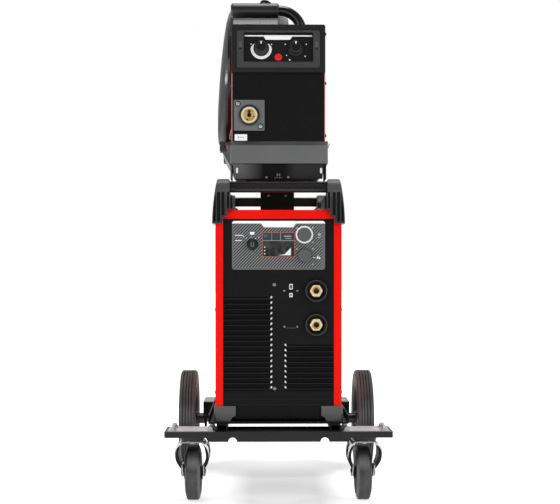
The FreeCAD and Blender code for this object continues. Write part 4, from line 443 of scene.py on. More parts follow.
# Caster wheels: grey moulded centres with plain bores, in black-grey rubber tyres pressed onto the rims.
# The rubber keeps mould lines round the tread and picks up floor dust where it rolls.
@surface
def rubber(spot, colour, axle, tread, bloom, roof=2.0):
    """Rubber round an axle at (y, z): noise in rings by the distance from the axle and in hoops across the tread, dust
    where it rolls. A painted highlight makes the skin palest where its normal's height is near bloom, and on the inner
    shoulder; the sides are painted darker as shade, and a painted shadow makes it near black where that height is
    above roof."""
    x, y, z = spot.axes()
    y, z = y - axle[0] * 0.001, z - axle[1] * 0.001
    reach = spot.math("SQRT", y * y + z * z)
    fine = spots(spot, 0.9, 3.0)
    wide = spots(spot, 45.0, 4.0)
    hoops = spot.node("CombineXYZ", {0: reach * 900, 1: x * 420, 2: wide * 0.6})
    moulding = spot.node("TexNoise", {"Vector": hoops, "Scale": 1.0, "Detail": 2.0})
    worn = reach.rise((tread - 2.5) * 0.001, tread * 0.001)
    streaks = (wide * 0.4 + moulding * 0.6).rise(0.3, 0.7)
    facing, _, up = normal_parts(spot)
    # Painted highlight near the normal height bloom and on the inner shoulder; the sides are painted darker as shade.
    lit = up.rise(bloom - 0.27, bloom - 0.03) * up.rise(bloom + 0.3, bloom + 0.06)
    tone = lit.mix(streaks.tint(colour, 0.54, 1.08), streaks.tint(colour, 1.7, 3.0))
    aside = abs(facing).rise(0.35, 0.8)
    inward = facing * x
    shoulder = inward.rise(-0.03, -0.08) * inward.rise(-0.228, -0.19)
    flank = wide.rise(0.3, 0.7).tint(colour, 0.4, 0.5)
    treaded = (worn * (1 - aside) * wide.rise(0.35, 0.75) * 0.3).mix(tone, "868686")
    skin = shoulder.mix(aside.mix(treaded, flank), shade(colour, 2.6))
    return {
        # Painted shadow: near black where the normal's height is above roof, under the fork.
        "Base Color": up.rise(roof, roof + 0.1).mix(skin, "040404"),
        "Roughness": 0.55 + (wide - 0.5) * 0.2 + worn * 0.12,
        "Specular IOR Level": 0.35,
        "Normal": bumps(fine * 0.5 + moulding * 0.5, 0.3, 0.3)}


@surface
def moulded(spot, colour, gloss, grain, depth=0.06, specular=0.4):
    """Moulded plastic: the mould's eroded grain is a fine bump, and flow marks shift tone and gloss."""
    fine = spots(spot, grain)
    flow = spots(spot, 60.0, 3.0)
    return {
        "Base Color": flow.rise(0.3, 0.7).tint(colour, 0.9, 1.1),
        "Roughness": gloss + (fine - 0.5) * 0.14 + (flow - 0.5) * 0.12,
        "Specular IOR Level": specular,
        "Normal": bumps(fine, 0.4, depth, 0.8)}


dress(rubber("caster_rubber", "484848", axle=(-340.0, 62.5), tread=62.5, bloom=0.46, roof=0.82),
      "caster_tyre_left", "caster_tyre_right")
rim_plastic = moulded("rim_plastic", "3a3b3d", gloss=0.5, grain=1.1)
dress(rim_plastic, "caster_hub_left", "caster_hub_right")


# Rear wheels: solid rubber tyres on moulded rims with six ribs, on a dark steel axle.
# The rubber is a little bluer than the casters'.
dress(rubber("rear_rubber", "3b4142", axle=(150.0, 130.0), tread=130.0, bloom=0.2),
      "rear_tyre_left", "rear_tyre_right")
dress(rim_plastic, "rear_rim_left", "rear_rim_right")
dress(plated("axle_steel", "4a4b4c", gloss=0.36, cloud=14.0), "rear_axle")


# Power source base and feet: folded black pan, four moulded corner feet screwed to it.
# The pan has the panels' satin black powder coat, the feet a coarse mould grain.
black_paint = powder_coat("black_paint", "111112", gloss=0.48, dust=0.06, peel=1.2, depth=0.08, specular=0.12)
dress(black_paint, "source_base")
dress(moulded("foot_plastic", "5c5c5c", gloss=0.5, grain=1.3, depth=0.1), "source_feet")


# Red cover: sheet folded over both sides and the top, held by pan-head screws along its edges.
# Gloss red powder coat, the peel wider than on the panels.
def screws(name, places, made, body="machine", axis=1, outward=-1, radius=3.6, height=2.2):
    """A piece of pan-head screws, one at each place: rings from a six-lobed socket over a low dome to the sheet."""
    rise = np.array([0.45, 1.0, 1.0, 0.8, 0.35, 0.0]) * height * outward
    spread = np.array([0.42, 0.42, 0.62, 0.86, 1.0, 1.0]) * radius
    lobes = [0.14, 0.14, 0, 0, 0, 0]
    heads = [turned(np.stack([rise, spread], 1), place, axis, steps=24, lobes=lobes) for place in places]
    piece(name, together(*heads), made, body)


red_paint = powder_coat("red_paint", "fe1003", gloss=0.34, dust=0.03, peel=2.4, depth=0.08, specular=0.16)
dress(red_paint, "source_cover")
steel = plated("steel", "8f9192", gloss=0.34, cloud=9.0)
side_rows = [(y, z) for y in (-376.0, 206.0) for z in (250.0, 438.0)] + [(-85.0, 250.0)]
for which, side in SIDES:
    places = [(side * 143.0, y, z) for y, z in side_rows]
    screws("cover_screws_" + which, places, steel, axis=0, outward=side)


# Front panel: pressed sheet with two banks of louvres, two screws, and white printed signs by the sockets.
# Small pins stand either side of the signs and of a blanking strip, and two creases run below the louvres.
def block(x, z):
    """Outline of an upright rectangle from its (low, high) pairs."""
    return [(x[0], z[0]), (x[1], z[0]), (x[1], z[1]), (x[0], z[1])]


@surface
def ink(spot, colour, gloss=0.4, lift=0.0):
    """Screen-printed ink: slightly uneven cover and a faint edge of gloss. Lift makes it glow a little: painted light
    that brightens an opaque white.
    """
    cover = spots(spot, 1.5, 3.0)
    return {
        "Base Color": cover.rise(0.3, 0.7).tint(colour, 0.92, 1.0),
        "Roughness": gloss + (cover - 0.5) * 0.2,
        "Emission Color": colour,
        "Emission Strength": lift,
        "Specular IOR Level": 0.3}


def slabs(low, high, *outlines):
    """Upright outlines, each carried along Y from one level to another."""
    return together(*[prism(outline, low, high) for outline in outlines])


def laid_on(face, thickness, *outlines):
    """Upright outlines on a face that looks forward, each this proud of it and a hair sunk in it."""
    return slabs(face - thickness, face + 0.05, *outlines)


LOUVRE_PITCH = 12.0


@surface
def louvred_paint(spot):
    """The panels' black coat, painted paler along the lips of the louvres as a highlight and near black in the
    pressings between them as shade, a line every 12 mm of height within each bank."""
    x, y, z = spot.axes()
    left = x.rise(-0.0172, -0.0182) * z.rise(0.2535, 0.254) * z.rise(0.4675, 0.467)
    right = x.rise(0.0157, 0.0167) * z.rise(0.2535, 0.254) * z.rise(0.3595, 0.359)
    bank = left.most(right) * y.rise(-0.375, -0.377)
    step = (z - 0.2584) * (1000 / LOUVRE_PITCH)
    # Painted highlight on each lip and painted shade between them.
    painted_lip_highlight = spot.math("PINGPONG", step, 0.5).rise(0.1, 0.06)
    fine = spots(spot, 1.2)
    wide = spots(spot, 90.0, 3.0)
    plain = wide.rise(0.35, 0.65).mix("101011", "141415")
    pressed = painted_lip_highlight.mix("030303", "303132")
    return {
        "Base Color": bank.mix(plain, pressed),
        "Roughness": 0.48 + (fine - 0.5) * 0.12 + (wide - 0.5) * 0.16,
        "Specular IOR Level": 0.12,
        "Normal": bumps(fine, 0.35, 0.08)}


PANEL = -386.5
dress(louvred_paint("louvred_paint"), "front_panel")
# The white ink glows a little: painted light.
white_ink = ink("white_ink", "ffffff", lift=0.16)
grey_ink = ink("grey_ink", "8d8f90")
screws("panel_screws", [(-9.5, PANEL, 494.6), (-9.0, PANEL, 259.5)], steel, radius=4.0, height=2.4)
cover_pins = [(12.8, PANEL, 480.9), (42.5, PANEL, 480.9), (13.2, PANEL, 399.5), (42.5, PANEL, 399.5)]
screws("cover_pins", cover_pins, steel, radius=2.4, height=1.4)


def frame_lines(x, z, line):
    """Four strips round a rectangle."""
    inner = (z[0] + line, z[1] - line)
    return [block(x, (inner[1], z[1])), block(x, (z[0], inner[0])),
            block((x[0], x[0] + line), inner), block((x[1] - line, x[1]), inner)]


signs = frame_lines((24.6, 32.0), (484.0, 496.0), 1.5) + frame_lines((24.8, 31.8), (466.5, 475.5), 1.7)
piece("socket_signs", laid_on(PANEL, 0.15, *signs), white_ink, "machine")
piece("blanking_strip", slabs(PANEL - 0.8, PANEL + 0.1, rounded_block((17.5, 38.5), (395.6, 397.4), 0.8)),
      ink("strip_grey", "4a4b4c"), "machine", bevel=0.2)
creases = [block((-124.0, 124.0), (z, z + 1.2)) for z in (222.6, 234.4)]
crease_paint = powder_coat("crease_paint", "262627", gloss=0.4, dust=0.1, peel=1.2, depth=0.08, specular=0.2)
piece("panel_creases", laid_on(PANEL, 0.6, *creases), crease_paint, "machine", bevel=0.3)


def louvre_glint_outline(x, z, towards):
    """Outline of a painted highlight at the end of a louvre: an ellipse that leans outwards at its foot."""
    turn = round_turn(14)
    return np.stack([x + 2.0 * np.cos(turn) - towards * 0.9 * np.sin(turn), z + 2.9 * np.sin(turn)], 1)


# Near-white pieces at the louvres' ends: a painted highlight on each.
louvre_end_highlights = [louvre_glint_outline(x, 262.0 + LOUVRE_PITCH * k, towards)
             for x, towards, count in ((-16.3, -1, 18), (15.8, 1, 9)) for k in range(count)]
piece("louvre_ends", laid_on(PANEL, 1.5, *louvre_end_highlights), ink("bare_edge", "f6f6f6", gloss=0.3), "machine", bevel=0.3)


@surface
def open_foam(spot):
    """Dust filter: black open foam, its cells a Voronoi bump."""
    cells = spot.node("TexVoronoi", {"Vector": spot, "Scale": 600.0})
    return {
        "Base Color": cells.rise(0.1, 0.6).mix("050505", "141414"),
        "Roughness": 0.9,
        "Specular IOR Level": 0.05,
        "Normal": bumps(cells, 0.6, 0.8)}


filters = [rounded_block((-122.0, -10.0), (245.0, 470.0), 3.0), rounded_block((10.0, 122.0), (245.0, 364.0), 3.0)]
piece("dust_filters", slabs(PANEL + 4.0, PANEL + 8.0, *filters), open_foam("filter_foam"), "machine")


# Control plate: printed sheet laid over the panel, with slanting stripes and a pale band along its top.
# The colour display sits in a red frame; a white ring marks the upper encoder.
@surface
def striped_plate(spot):
    """Diagonal stripes by x - z, dark and light, softened where the eye can't part them; a plain grey margin."""
    x, _, z = spot.axes()
    stripe_pitch = 6.9
    bands = spot.math("PINGPONG", (x - z) * (1000 / stripe_pitch), 0.5).rise(0.18, 0.32)
    inside = abs(x + 0.0015).rise(0.1008, 0.1) * z.rise(0.5335, 0.5343)
    weave = spots(spot, 0.5)
    dark_light = bands.mix("222324", "8a8c8c")
    return {
        "Base Color": inside.mix("6b6d6c", dark_light),
        "Roughness": 0.42 + (weave - 0.5) * 0.1,
        "Specular IOR Level": 0.3,
        "Normal": bumps(bands * 0.5 + weave * 0.3, 0.2, 0.1)}


def disc(cx, cz, r, steps=24):
    """Outline of a circle."""
    return arc(cx, cz, r, round_turn(steps))


PLATE = -389.0
ENCODER_X = 58.6
ENCODERS = {"upper": 608.0, "lower": 561.0}
dress(striped_plate("control_print"), "control_plate")
band = np.concatenate([rounded_block((-105.3, 105.3), (633.2, 638.9), 5.6)[:12], [(-105.3, 633.2)],
                       [(-39.5, 633.2), (-33.0, 624.6), (33.0, 624.6), (39.5, 633.2), (105.3, 633.2)]])
marks = [band, disc(-61.8, 611.0, 3.2), block((-59.4, -54.8), (607.8, 614.0))]
marks += [block((-98.5, -80.5), (605.6, 607.2)), block((-98.5, -83.0), (593.8, 595.4))]
marks += [disc(x, z, 1.0, 12) for x, z in (
    (-79.0, 603.6), (-72.5, 599.9), (-62.0, 601.6), (-51.9, 599.2), (-45.0, 601.6))]
marks += [disc(x, z, 1.1, 12) for x, z in (
    (41.5, 623.2), (77.5, 623.6), (78.0, 590.9), (78.0, 575.6), (41.8, 575.4), (77.6, 541.2))]
marks += [[(86.0, 553.5), (90.0, 561.6), (90.8, 553.5)], [(91.6, 553.5), (92.4, 558.6), (95.4, 553.5)],
          block((77.6, 84.0), (555.6, 556.6))]
piece("plate_marks", laid_on(PLATE, 0.15, *marks), white_ink, "machine")
piece("icon_marks", laid_on(PLATE, 0.15, disc(92.6, 608.0, 3.4), block((89.6, 95.6), (600.4, 602.4))),
      ink("icon_grey", "b9bbbb"), "machine")
flat_ring = turned([(-0.15, 16.2), (-0.15, 19.8), (0.05, 19.8), (0.05, 16.2)],
                   (ENCODER_X, PLATE, ENCODERS["upper"]), steps=64, closed=True)
piece("encoder_ring", flat_ring, white_ink, "machine")


@surface
def screen_print(spot):
    """Colour display: header row, dividers, dots and a rising block, drawn from x and z, a little lit."""
    x, _, z = spot.axes()
    x, z = x * 1000, z * 1000

    def areas(*boxes):
        """1 inside any of these rectangles, (x from, x to, z from, z to) in millimetres, with soft edges."""
        soft = 0.3
        covered = 0.0
        for x0, x1, z0, z1 in boxes:
            wide = x.rise(x0 - soft, x0 + soft) * x.rise(x1 + soft, x1 - soft)
            high = z.rise(z0 - soft, z0 + soft) * z.rise(z1 + soft, z1 - soft)
            covered = (wide * high).most(covered)
        return covered

    cloud = spots(spot, 12.0, 3.0)
    picture = cloud.rise(0.4, 0.65).mix("1e2221", "3c403e")
    layers = (("3a3f42", [(-36.0, 36.0, 594.5, 613.0)]),
              ("2d6b7e", [(-33.5, -25.5, 602.5, 608.2)]),
              ("9b9d9c", [(-15.8, -15.0, 594.0, 612.0), (4.0, 5.2, 594.0, 612.0), (-36.0, 36.0, 593.8, 595.0)]),
              ("8f9596", [(12.0, 29.0, 603.0, 606.0), (16.0, 29.0, 598.5, 600.5)]))
    for colour, boxes in layers:
        picture = areas(*boxes).mix(picture, colour)
    dots = areas(*[(-32.5, -30.0, foot, foot + 2.5) for foot in (578.3, 570.8, 563.3)])
    climb = (z - 561.0 - (x + 2.0).most(0.0) * 0.16 - (x - 14.0).most(0.0) * 0.9).rise(0.4, -0.4)
    rising = climb * areas((-3.0, 28.0, 561.2, 583.0))
    picture = dots.most(rising).mix(picture, "e6e8e8")
    return {
        "Base Color": picture,
        "Roughness": 0.16 + cloud * 0.04,
        "Specular IOR Level": 0.3,
        "Emission Color": picture,
        "Emission Strength": 0.18}


dress(screen_print("screen"), "display_unit")
piece("display_frame", laid_on(PLATE, 0.3, *frame_lines((-36.9, 36.9), (557.2, 613.3), 1.4)),
      ink("red_ink", "b9635a"), "machine")


# Knobs on the power source: selector in black with a painted grey highlight round its finger bar's tip, and two
# encoder caps. The caps are moulded in grey, with fluted skirts.
black_plastic = moulded("black_plastic", "1b1b1c", gloss=0.3, grain=2.2, depth=0.03, specular=0.45)
grey_plastic = moulded("grey_plastic", "5a5c5d", gloss=0.48, grain=0.9)
knob_plastic = moulded("knob_plastic", "171718", gloss=0.3, grain=0.8)
dress(knob_plastic, "selector_knob")
dress(grey_plastic, "encoder_upper", "encoder_lower")


def fluted_skirt(cx, cz, face, inner, radius, depth, flutes, proud):
    """A knob's grip: a sleeve whose radius ripples with the angle, deepest half way along its depth."""
    steps = flutes * 6
    turn = round_turn(steps)
    along = np.array([0.0, 0.15, 0.5, 0.85, 1.0])
    swell = np.array([0.0, 0.9, 1.0, 0.9, 0.0])
    outer = radius + proud * swell[:, None] * (0.5 + 0.5 * np.cos(flutes * turn)[None, :])
    rows = np.concatenate([outer, np.full((2, steps), inner)])
    level = face - depth * np.concatenate([along, [1.0, 0.0]])
    points = np.stack([cx + rows * np.cos(turn), level[:, None] + rows * 0, cz + rows * np.sin(turn)], -1)
    return points.reshape(-1, 3), rings_to_faces(len(rows), steps, True)


for which, z in ENCODERS.items():
    skirt = fluted_skirt(ENCODER_X, z, PLATE - 1.2, inner=14.6, radius=15.2, depth=10.0, flutes=24, proud=0.7)
    piece("encoder_flutes_" + which, skirt, grey_plastic, which + "_encoder", sharp=60)
# The grey U round the finger bar's tip is a painted highlight.
pointer = [block((-62.4, -61.0), (580.5, 591.0)), block((-57.0, -55.6), (580.5, 591.0)),
           block((-61.0, -57.0), (580.5, 581.7))]
piece("selector_pointer", slabs(PLATE - 17.45, PLATE - 17.2, *pointer), grey_ink, "selector")


# Output sockets: black glass-filled shells with a brass bayonet contact, pushed through the panel.
# The brass is turned bright, with a painted highlight at its rim and painted shade inside the bore.
@surface
def turned_brass(spot, cx, cz, rim, front, apart=0.0):
    """Turned brass round one axis, or two that lie this far apart in height: a painted highlight makes it pale at the
    rim;
    painted shade makes it deeper gold within and towards its top, and brown past its front face."""
    x, y, z = spot.axes()
    across = x - cx * 0.001
    up = abs(z - cz * 0.001) - apart * 0.0005
    reach = spot.math("SQRT", across * across + up * up)
    within = reach.rise((rim + 0.5) * 0.001, (rim - 0.5) * 0.001)
    wide = spots(spot, 7.0, 3.0)
    fine = spots(spot, 0.6)
    # Painted highlight at the rim, painted shade within it and inside the bore.
    face = (up * (500.0 / rim) + wide * 0.6).rise(-0.1, 0.75).mix("efd797", "b98f45")
    tone = y.rise((front + 0.8) * 0.001, (front + 2.0) * 0.001).mix(within.mix("fdf0c8", face), "7d5a22")
    return {
        "Base Color": tone,
        "Metallic": 0.2,
        "Roughness": 0.3 + (wide - 0.5) * 0.1,
        "Normal": bumps(fine, 0.1, 0.05)}


dress(moulded("shell_plastic", "0c0c0d", gloss=0.4, grain=1.4, depth=0.03, specular=0.2), "socket_shells")
SOCKET_X, SOCKET_MIDDLE, SOCKETS_APART = 85.3, 442.15, 76.7
dress(turned_brass("contact_brass", cx=SOCKET_X, cz=SOCKET_MIDDLE, apart=SOCKETS_APART, rim=10.2, front=-395.5),
      "socket_contacts")
rims = [turned([(-14.4, 23.0), (-14.4, 23.6), (-13.2, 24.3), (-13.2, 23.0)],
               (SOCKET_X, PANEL, SOCKET_MIDDLE + half * SOCKETS_APART), steps=72, closed=True) for half in (0.5, -0.5)]
piece("socket_rims", together(*rims), grey_plastic, "machine")


# Back of the power source: panel with the fan guard, mains gland, rotary switch, fan and transformer inside.
# The switch has a white pointer and the usual 0 and 1 beside it.
dress(black_paint, "rear_panel")
dress(black_plastic, "fan_rotor", "main_switch")


@surface
def lacquered_core(spot):
    """Stacked iron sheets under varnish: lines a millimetre apart along the stack."""
    _, y, _ = spot.axes()
    lines = spot.math("PINGPONG", y * 1000, 0.5)
    wide = spots(spot, 30.0, 3.0)
    return {
        "Base Color": (lines * 0.8 + wide * 0.4).rise(0.2, 0.8).mix("3a2b22", "7a5f4a"),
        "Metallic": 0.4,
        "Roughness": 0.45 + wide * 0.1,
        "Normal": bumps(lines, 0.3, 0.3)}


dress(lacquered_core("transformer_iron"), "main_transformer")
BACK = 216.5
rear_screws = [(x, BACK, z) for x in (-52.0, 52.0) for z in (348.0, 452.0)]
rear_screws += [(x, BACK, z) for x in (-118.0, 118.0) for z in (262.0, 630.0)]
screws("rear_screws", rear_screws, steel, outward=1)
switch_signs = frame_lines((42.0, 46.0), (596.5, 603.5), 0.9) + [block((71.4, 72.6), (626.5, 633.5))]
piece("switch_signs", slabs(BACK - 0.05, BACK + 0.15, *switch_signs), white_ink, "machine")
piece("switch_pointer", slabs(BACK + 20.2, BACK + 20.45, block((71.2, 72.8), (606.0, 617.0))), white_ink,
      "mains_switch")


# Handles: four ribbed corner mouldings and a bar between each pair, front and back.
# Dark glass-filled plastic with a fine mould grain.
@surface
def moulded_with_groove_shade(spot, colour, groove_shade):
    """Moulded plastic whose grooves, known by their depth behind the face, front and back, are painted near black as
    shade; the ribbed part below a level is darker.
    """
    _, y, z = spot.axes()
    _, facing, _ = normal_parts(spot)
    # Painted shade in the grooves.
    strip = (abs(y + 0.085) < 0.3105) * (abs(facing) > 0.9)
    ribs = z.rise(0.705, 0.685)
    fine = spots(spot, 1.0)
    flow = spots(spot, 60.0, 3.0)
    return {
        "Base Color": strip.mix(ribs.mix(flow.rise(0.3, 0.7).tint(colour, 0.92, 1.08), "2c2d2e"), groove_shade),
        "Roughness": 0.42 + (fine - 0.5) * 0.14 + strip * 0.3,
        "Specular IOR Level": 0.4,
        "Normal": bumps(fine, 0.4, 0.06, 1.5)}


dress(moulded_with_groove_shade("handle_plastic", "48494a", "050505"), "handle_ends")
dress(moulded("bar_plastic", "0e0e0f", gloss=0.34, grain=1.0, depth=0.05), "handle_bars")


# Pedestal and turntable: folded black sheet, bolted; the feeder turns on the pedestal's spigot.
# Two screws hold the turntable's front, white plugs in its slots are painted highlights, and a latch plate locks the
# swivel.
dress(powder_coat("pedestal_paint", "0e0e0f", gloss=0.5, dust=0.05, specular=0.15), "feeder_pedestal")


@surface
def satin_with_painted_sheen(spot):
    """Black satin coat with a painted sheen on the front panel: most towards its left end, less on the right, not at
    all in the middle, by x."""
    x, _, _ = spot.axes()
    _, facing, up = normal_parts(spot)
    ahead = facing.rise(-0.6, -0.9)
    # Painted sheen on the front panel.
    painted_sheen = x.rise(-0.034, -0.084).most(x.rise(0.012, 0.04) * 0.22) * ahead
    fine = spots(spot, 1.6)
    wide = spots(spot, 90.0, 3.0)
    return {
        "Base Color": painted_sheen.mix(wide.mix("080808", "0e0e0f"), "636363"),
        "Roughness": 0.5 + (fine - 0.5) * 0.12 + up.rise(-0.3, -0.8) * 0.5,
        "Specular IOR Level": 0.06,
        "Normal": bumps(fine, 0.35, 0.1)}


dress(satin_with_painted_sheen("turntable_paint"), "turntable_frame")


def slope_y(z):
    """Front face of the turntable's leaning panel at a level."""
    return -368.0 + 10.0 * (768.0 - z) / 31.0


stud_level, plug_level, latch_level = 740.6, 755.0, 745.0
turntable_studs = [(x, slope_y(stud_level) - 0.3, stud_level) for x in (-27.0, 22.6)]
screws("turntable_studs", turntable_studs, steel, "feeder", radius=2.8, height=1.6)
# The white plugs are painted highlights in the slots.
plugs = [rounded_block((x - 2.6, x + 2.6), (748.6, 761.6), 2.5) for x in (-94.6, 97.6)]
piece("slot_plugs", slabs(slope_y(plug_level) - 2.2, slope_y(plug_level) + 2.0, *plugs),
      ink("plug_white", "f4f4f4", gloss=0.35), "feeder", bevel=0.4)
latch = [block((-3.6, -2.2), (741.4, 750.0)), block((2.6, 4.0), (741.4, 750.0)), block((-2.2, 2.6), (744.8, 746.4)),
         block((-9.5, 9.5), (738.4, 739.4))]
piece("latch_plate", slabs(slope_y(latch_level) - 1.6, slope_y(latch_level) + 3.2, *latch), steel, "feeder",
      bevel=0.2)
pedestal_screws = [(x, -145.0, 712.7) for x in (-20.8, 20.8)]
screws("pedestal_screws", pedestal_screws, steel, radius=3.2, height=2.0)


# Feeder base: an upturned moulded tray with a darker sloping band up to the front panel.
# A bent wire lever at its front right frees the swivel.
@surface
def two_tone(spot, colour, band, axis, low, high):
    """Moulded plastic whose tone changes past a level of X, Y or Z (0, 1, 2), from low to high in metres."""
    past = spot.axes()[axis].rise(low, high)
    fine = spots(spot, 1.0)
    flow = spots(spot, 60.0, 3.0)
    return {
        "Base Color": past.mix(flow.rise(0.3, 0.7).tint(colour, 0.93, 1.07), band),
        "Roughness": 0.48 + (fine - 0.5) * 0.14 + (flow - 0.5) * 0.1,
        "Specular IOR Level": 0.35,
        "Normal": bumps(fine, 0.4, 0.06, 1.5)}


def bent_wire(path, r, sides=10):
    """A round wire along a path in an upright plane: at each point a circle square to the path's direction there."""
    path = np.asarray(path, float)
    ahead = np.gradient(path, axis=0)
    ahead /= np.linalg.norm(ahead, axis=1, keepdims=True)
    across = np.cross(ahead, [0.0, 1.0, 0.0])
    across /= np.linalg.norm(across, axis=1, keepdims=True)
    turn = round_turn(sides)
    offset = across[:, None] * np.cos(turn)[None, :, None] + np.array([0.0, 1.0, 0.0]) * np.sin(turn)[None, :, None]
    points = (path[:, None] + r * offset).reshape(-1, 3)
    return points, rings_to_faces(len(path), sides, False)


dress(two_tone("base_plastic", "686969", "3d3e3e", axis=2, low=0.8118, high=0.8124), "feeder_base")
lever = [(112.0, -352.0, 803.0), (113.6, -352.0, 808.0), (115.4, -352.0, 813.0), (117.6, -352.0, 818.4)]
piece("release_lever", bent_wire(lever, r=1.1), steel, "feeder", sharp=60)


# Feeder box: black front and chassis, red side panel and door, screws along the edges.
# A white rating label with three plain marks is stuck low on the front.
dress(black_paint, "feeder_front_panel", "feeder_chassis")
dress(red_paint, "feeder_side_panel", "feeder_door")
BOX = -365.0
side_screws = [(107.2, y, z) for y in (-352.0, 138.0) for z in (836.5, 956.4, 1069.6)]
screws("feeder_side_screws", side_screws, black_plastic, "feeder", axis=0, outward=1, radius=4.0,
       height=3.2)
door_screws = [(-107.5, y, z) for y in (-352.0, 138.0) for z in (951.0, 1069.6)]
screws("feeder_door_screws", door_screws, black_plastic, "door", axis=0)
# The pink strips along the red panels' front edges are a painted highlight.
bare_edge = ink("edge_pink", "d9a7a0", gloss=0.35)
piece("door_front_edge", slabs(-362.4, -361.9, block((-107.3, -105.1), (820.0, 977.0))), bare_edge, "door")
piece("side_front_edge", slabs(-363.5, -362.9, block((104.9, 106.3), (817.0, 977.0))), bare_edge, "feeder")
FOIL = 0.25
# The label glows a little: painted light.
piece("rating_label", laid_on(BOX, FOIL, rounded_block((-99.9, -71.5), (823.4, 838.0), 1.0)),
      ink("label_white", "ffffff", gloss=0.5, lift=0.1), "feeder", bevel=0.05)
label_marks = [block((-92.5, -90.5), (828.4, 833.6)), block((-88.8, -84.0), (830.2, 831.8)),
               block((-82.6, -79.0), (830.2, 831.8))]
piece("label_marks", laid_on(BOX - FOIL, 0.1, *label_marks), grey_ink, "feeder")
hem = [(-107.6, 851.0), (-111.6, 836.0), (-111.6, 828.0), (-107.4, 826.2), (-108.2, 827.6), (-110.4, 829.0),
       (-110.4, 836.0), (-107.0, 848.0)]
piece("door_clip", slabs(-361.5, -355.0, hem), zinc, "door", bevel=0.1)


# Fascia: dark moulded bezel with a raised frame round the sunk control plate.
# The plate is black with a white line, a bare tab and white marks round the knobs.
dress(two_tone("fascia_plastic", "3c3d3d", "101111", axis=1, low=-0.3738, high=-0.3732), "feeder_fascia")
CATCH_X = 86.6
catch_ribs = [rounded_block((x - 3.8, x + 3.8), (1036.0 + 4.0 * k, 1038.8 + 4.0 * k), 1.0)
              for x in (-CATCH_X, CATCH_X) for k in range(3)]
piece("catch_ribs", slabs(-377.9, -376.9, *catch_ribs), grey_plastic, "feeder", bevel=0.3)
# The catch slots are flat black patches: painted shade for slots.
catch_slots = [block((x - 3.6, x + 3.6), (1030.0, 1032.8)) for x in (-CATCH_X, CATCH_X)]
piece("catch_slots", laid_on(-377.0, 0.1, *catch_slots), ink("slot_black", "0a0a0a", gloss=0.7), "feeder")
dress(knob_plastic, "feeder_knob_left", "feeder_knob_right")
WINDOW = -367.0
plate_outline = rounded_block((-78.7, 78.7), (1002.3, 1068.7), 2.0)
piece("feeder_plate", laid_on(WINDOW, FOIL, plate_outline), ink("plate_black", "161617", gloss=0.35), "feeder")
line_and_tab = [(-77.0, 1061.0), (-33.5, 1061.0), (-29.0, 1053.6), (26.5, 1053.6), (31.5, 1061.0), (77.0, 1061.0),
                (77.0, 1064.0), (-77.0, 1064.0)]
feeder_dots = [disc(x, z, 1.3, 14) for x, z in (
    (-62.5, 1043.5), (-15.6, 1043.5), (15.6, 1043.5), (63.5, 1043.5), (61.0, 1016.0), (18.5, 1018.0))]
piece("feeder_marks", laid_on(WINDOW - FOIL, 0.15, line_and_tab, *feeder_dots, disc(26.0, 1007.6, 1.9, 16)),
      white_ink, "feeder")


def open_ring(cx, cz, inner, width, start, end, taper, steps=72):
    """Outline of a crescent round a knob from one angle to another: its width swells as a quarter sine over the taper
    at each end and is even between."""
    turn = np.linspace(start, end, steps)
    swell = np.sin(np.clip(np.minimum(turn - start, end - turn) / taper, 0, 1) * math.pi / 2)
    return np.concatenate([arc(cx, cz, inner + width * swell, turn), arc(cx, cz, inner - 0.2, turn)[::-1]])


crescent = open_ring(-39.2, 1033.8, inner=18.2, width=6.2, start=math.radians(-218), end=math.radians(38),
                     taper=math.radians(50))
piece("left_knob_ring", laid_on(WINDOW - FOIL, 0.15, crescent), white_ink, "feeder")
for which, x in (("left", -39.5), ("right", 39.5)):
    body = "feeder_" + which + "_knob"
    skirt = fluted_skirt(x, 1034.5, WINDOW - 6.6, inner=12.4, radius=13.6, depth=10.6, flutes=12, proud=1.6)
    piece("feeder_knob_flutes_" + which, skirt, knob_plastic, body, sharp=60)
    line = block((x - 1.2, x + 1.2), (1041.0, 1046.4))
    piece("feeder_knob_pointer_" + which, slabs(WINDOW - 20.6, WINDOW - 20.25, line), white_ink, body)
dress(moulded("red_plastic", "f01e16", gloss=0.25, grain=1.5, depth=0.02, specular=0.5), "test_button")


# Torch socket: square grey plate with a black collar round the brass socket.
# Two socket-head screws hold it, each in a shallow black well.
TORCH_X, TORCH_Z = -66.6, 881.0
TORCH_PLATE = BOX - 4.0
dress(moulded("socket_plate", "6d6f70", gloss=0.5, grain=0.9), "euro_plate")
dress(turned_brass("torch_brass", cx=TORCH_X, cz=TORCH_Z, rim=14.0, front=-374.0), "euro_socket")
plate_screws = [(-92.6, TORCH_PLATE, 907.0), (-40.8, TORCH_PLATE, 855.5)]
screws("torch_plate_screws", plate_screws, zinc, "feeder", radius=4.4, height=2.8)
screw_wells = [turned([(0.05, 4.7), (-0.35, 5.0), (-0.35, 6.6), (0.05, 6.9)], place, steps=32, closed=True)
               for place in plate_screws]
piece("torch_screw_wells", together(*screw_wells), black_plastic, "feeder")
collar = [(-6.6, 19.35), (-6.6, 21.3), (-4.3, 23.5), (0.05, 23.5), (0.05, 23.05), (-4.0, 23.05), (-6.05, 21.05),
          (-6.05, 19.35)]
piece("torch_collar", turned(collar, (TORCH_X, TORCH_PLATE, TORCH_Z), steps=72, closed=True), black_plastic, "feeder")


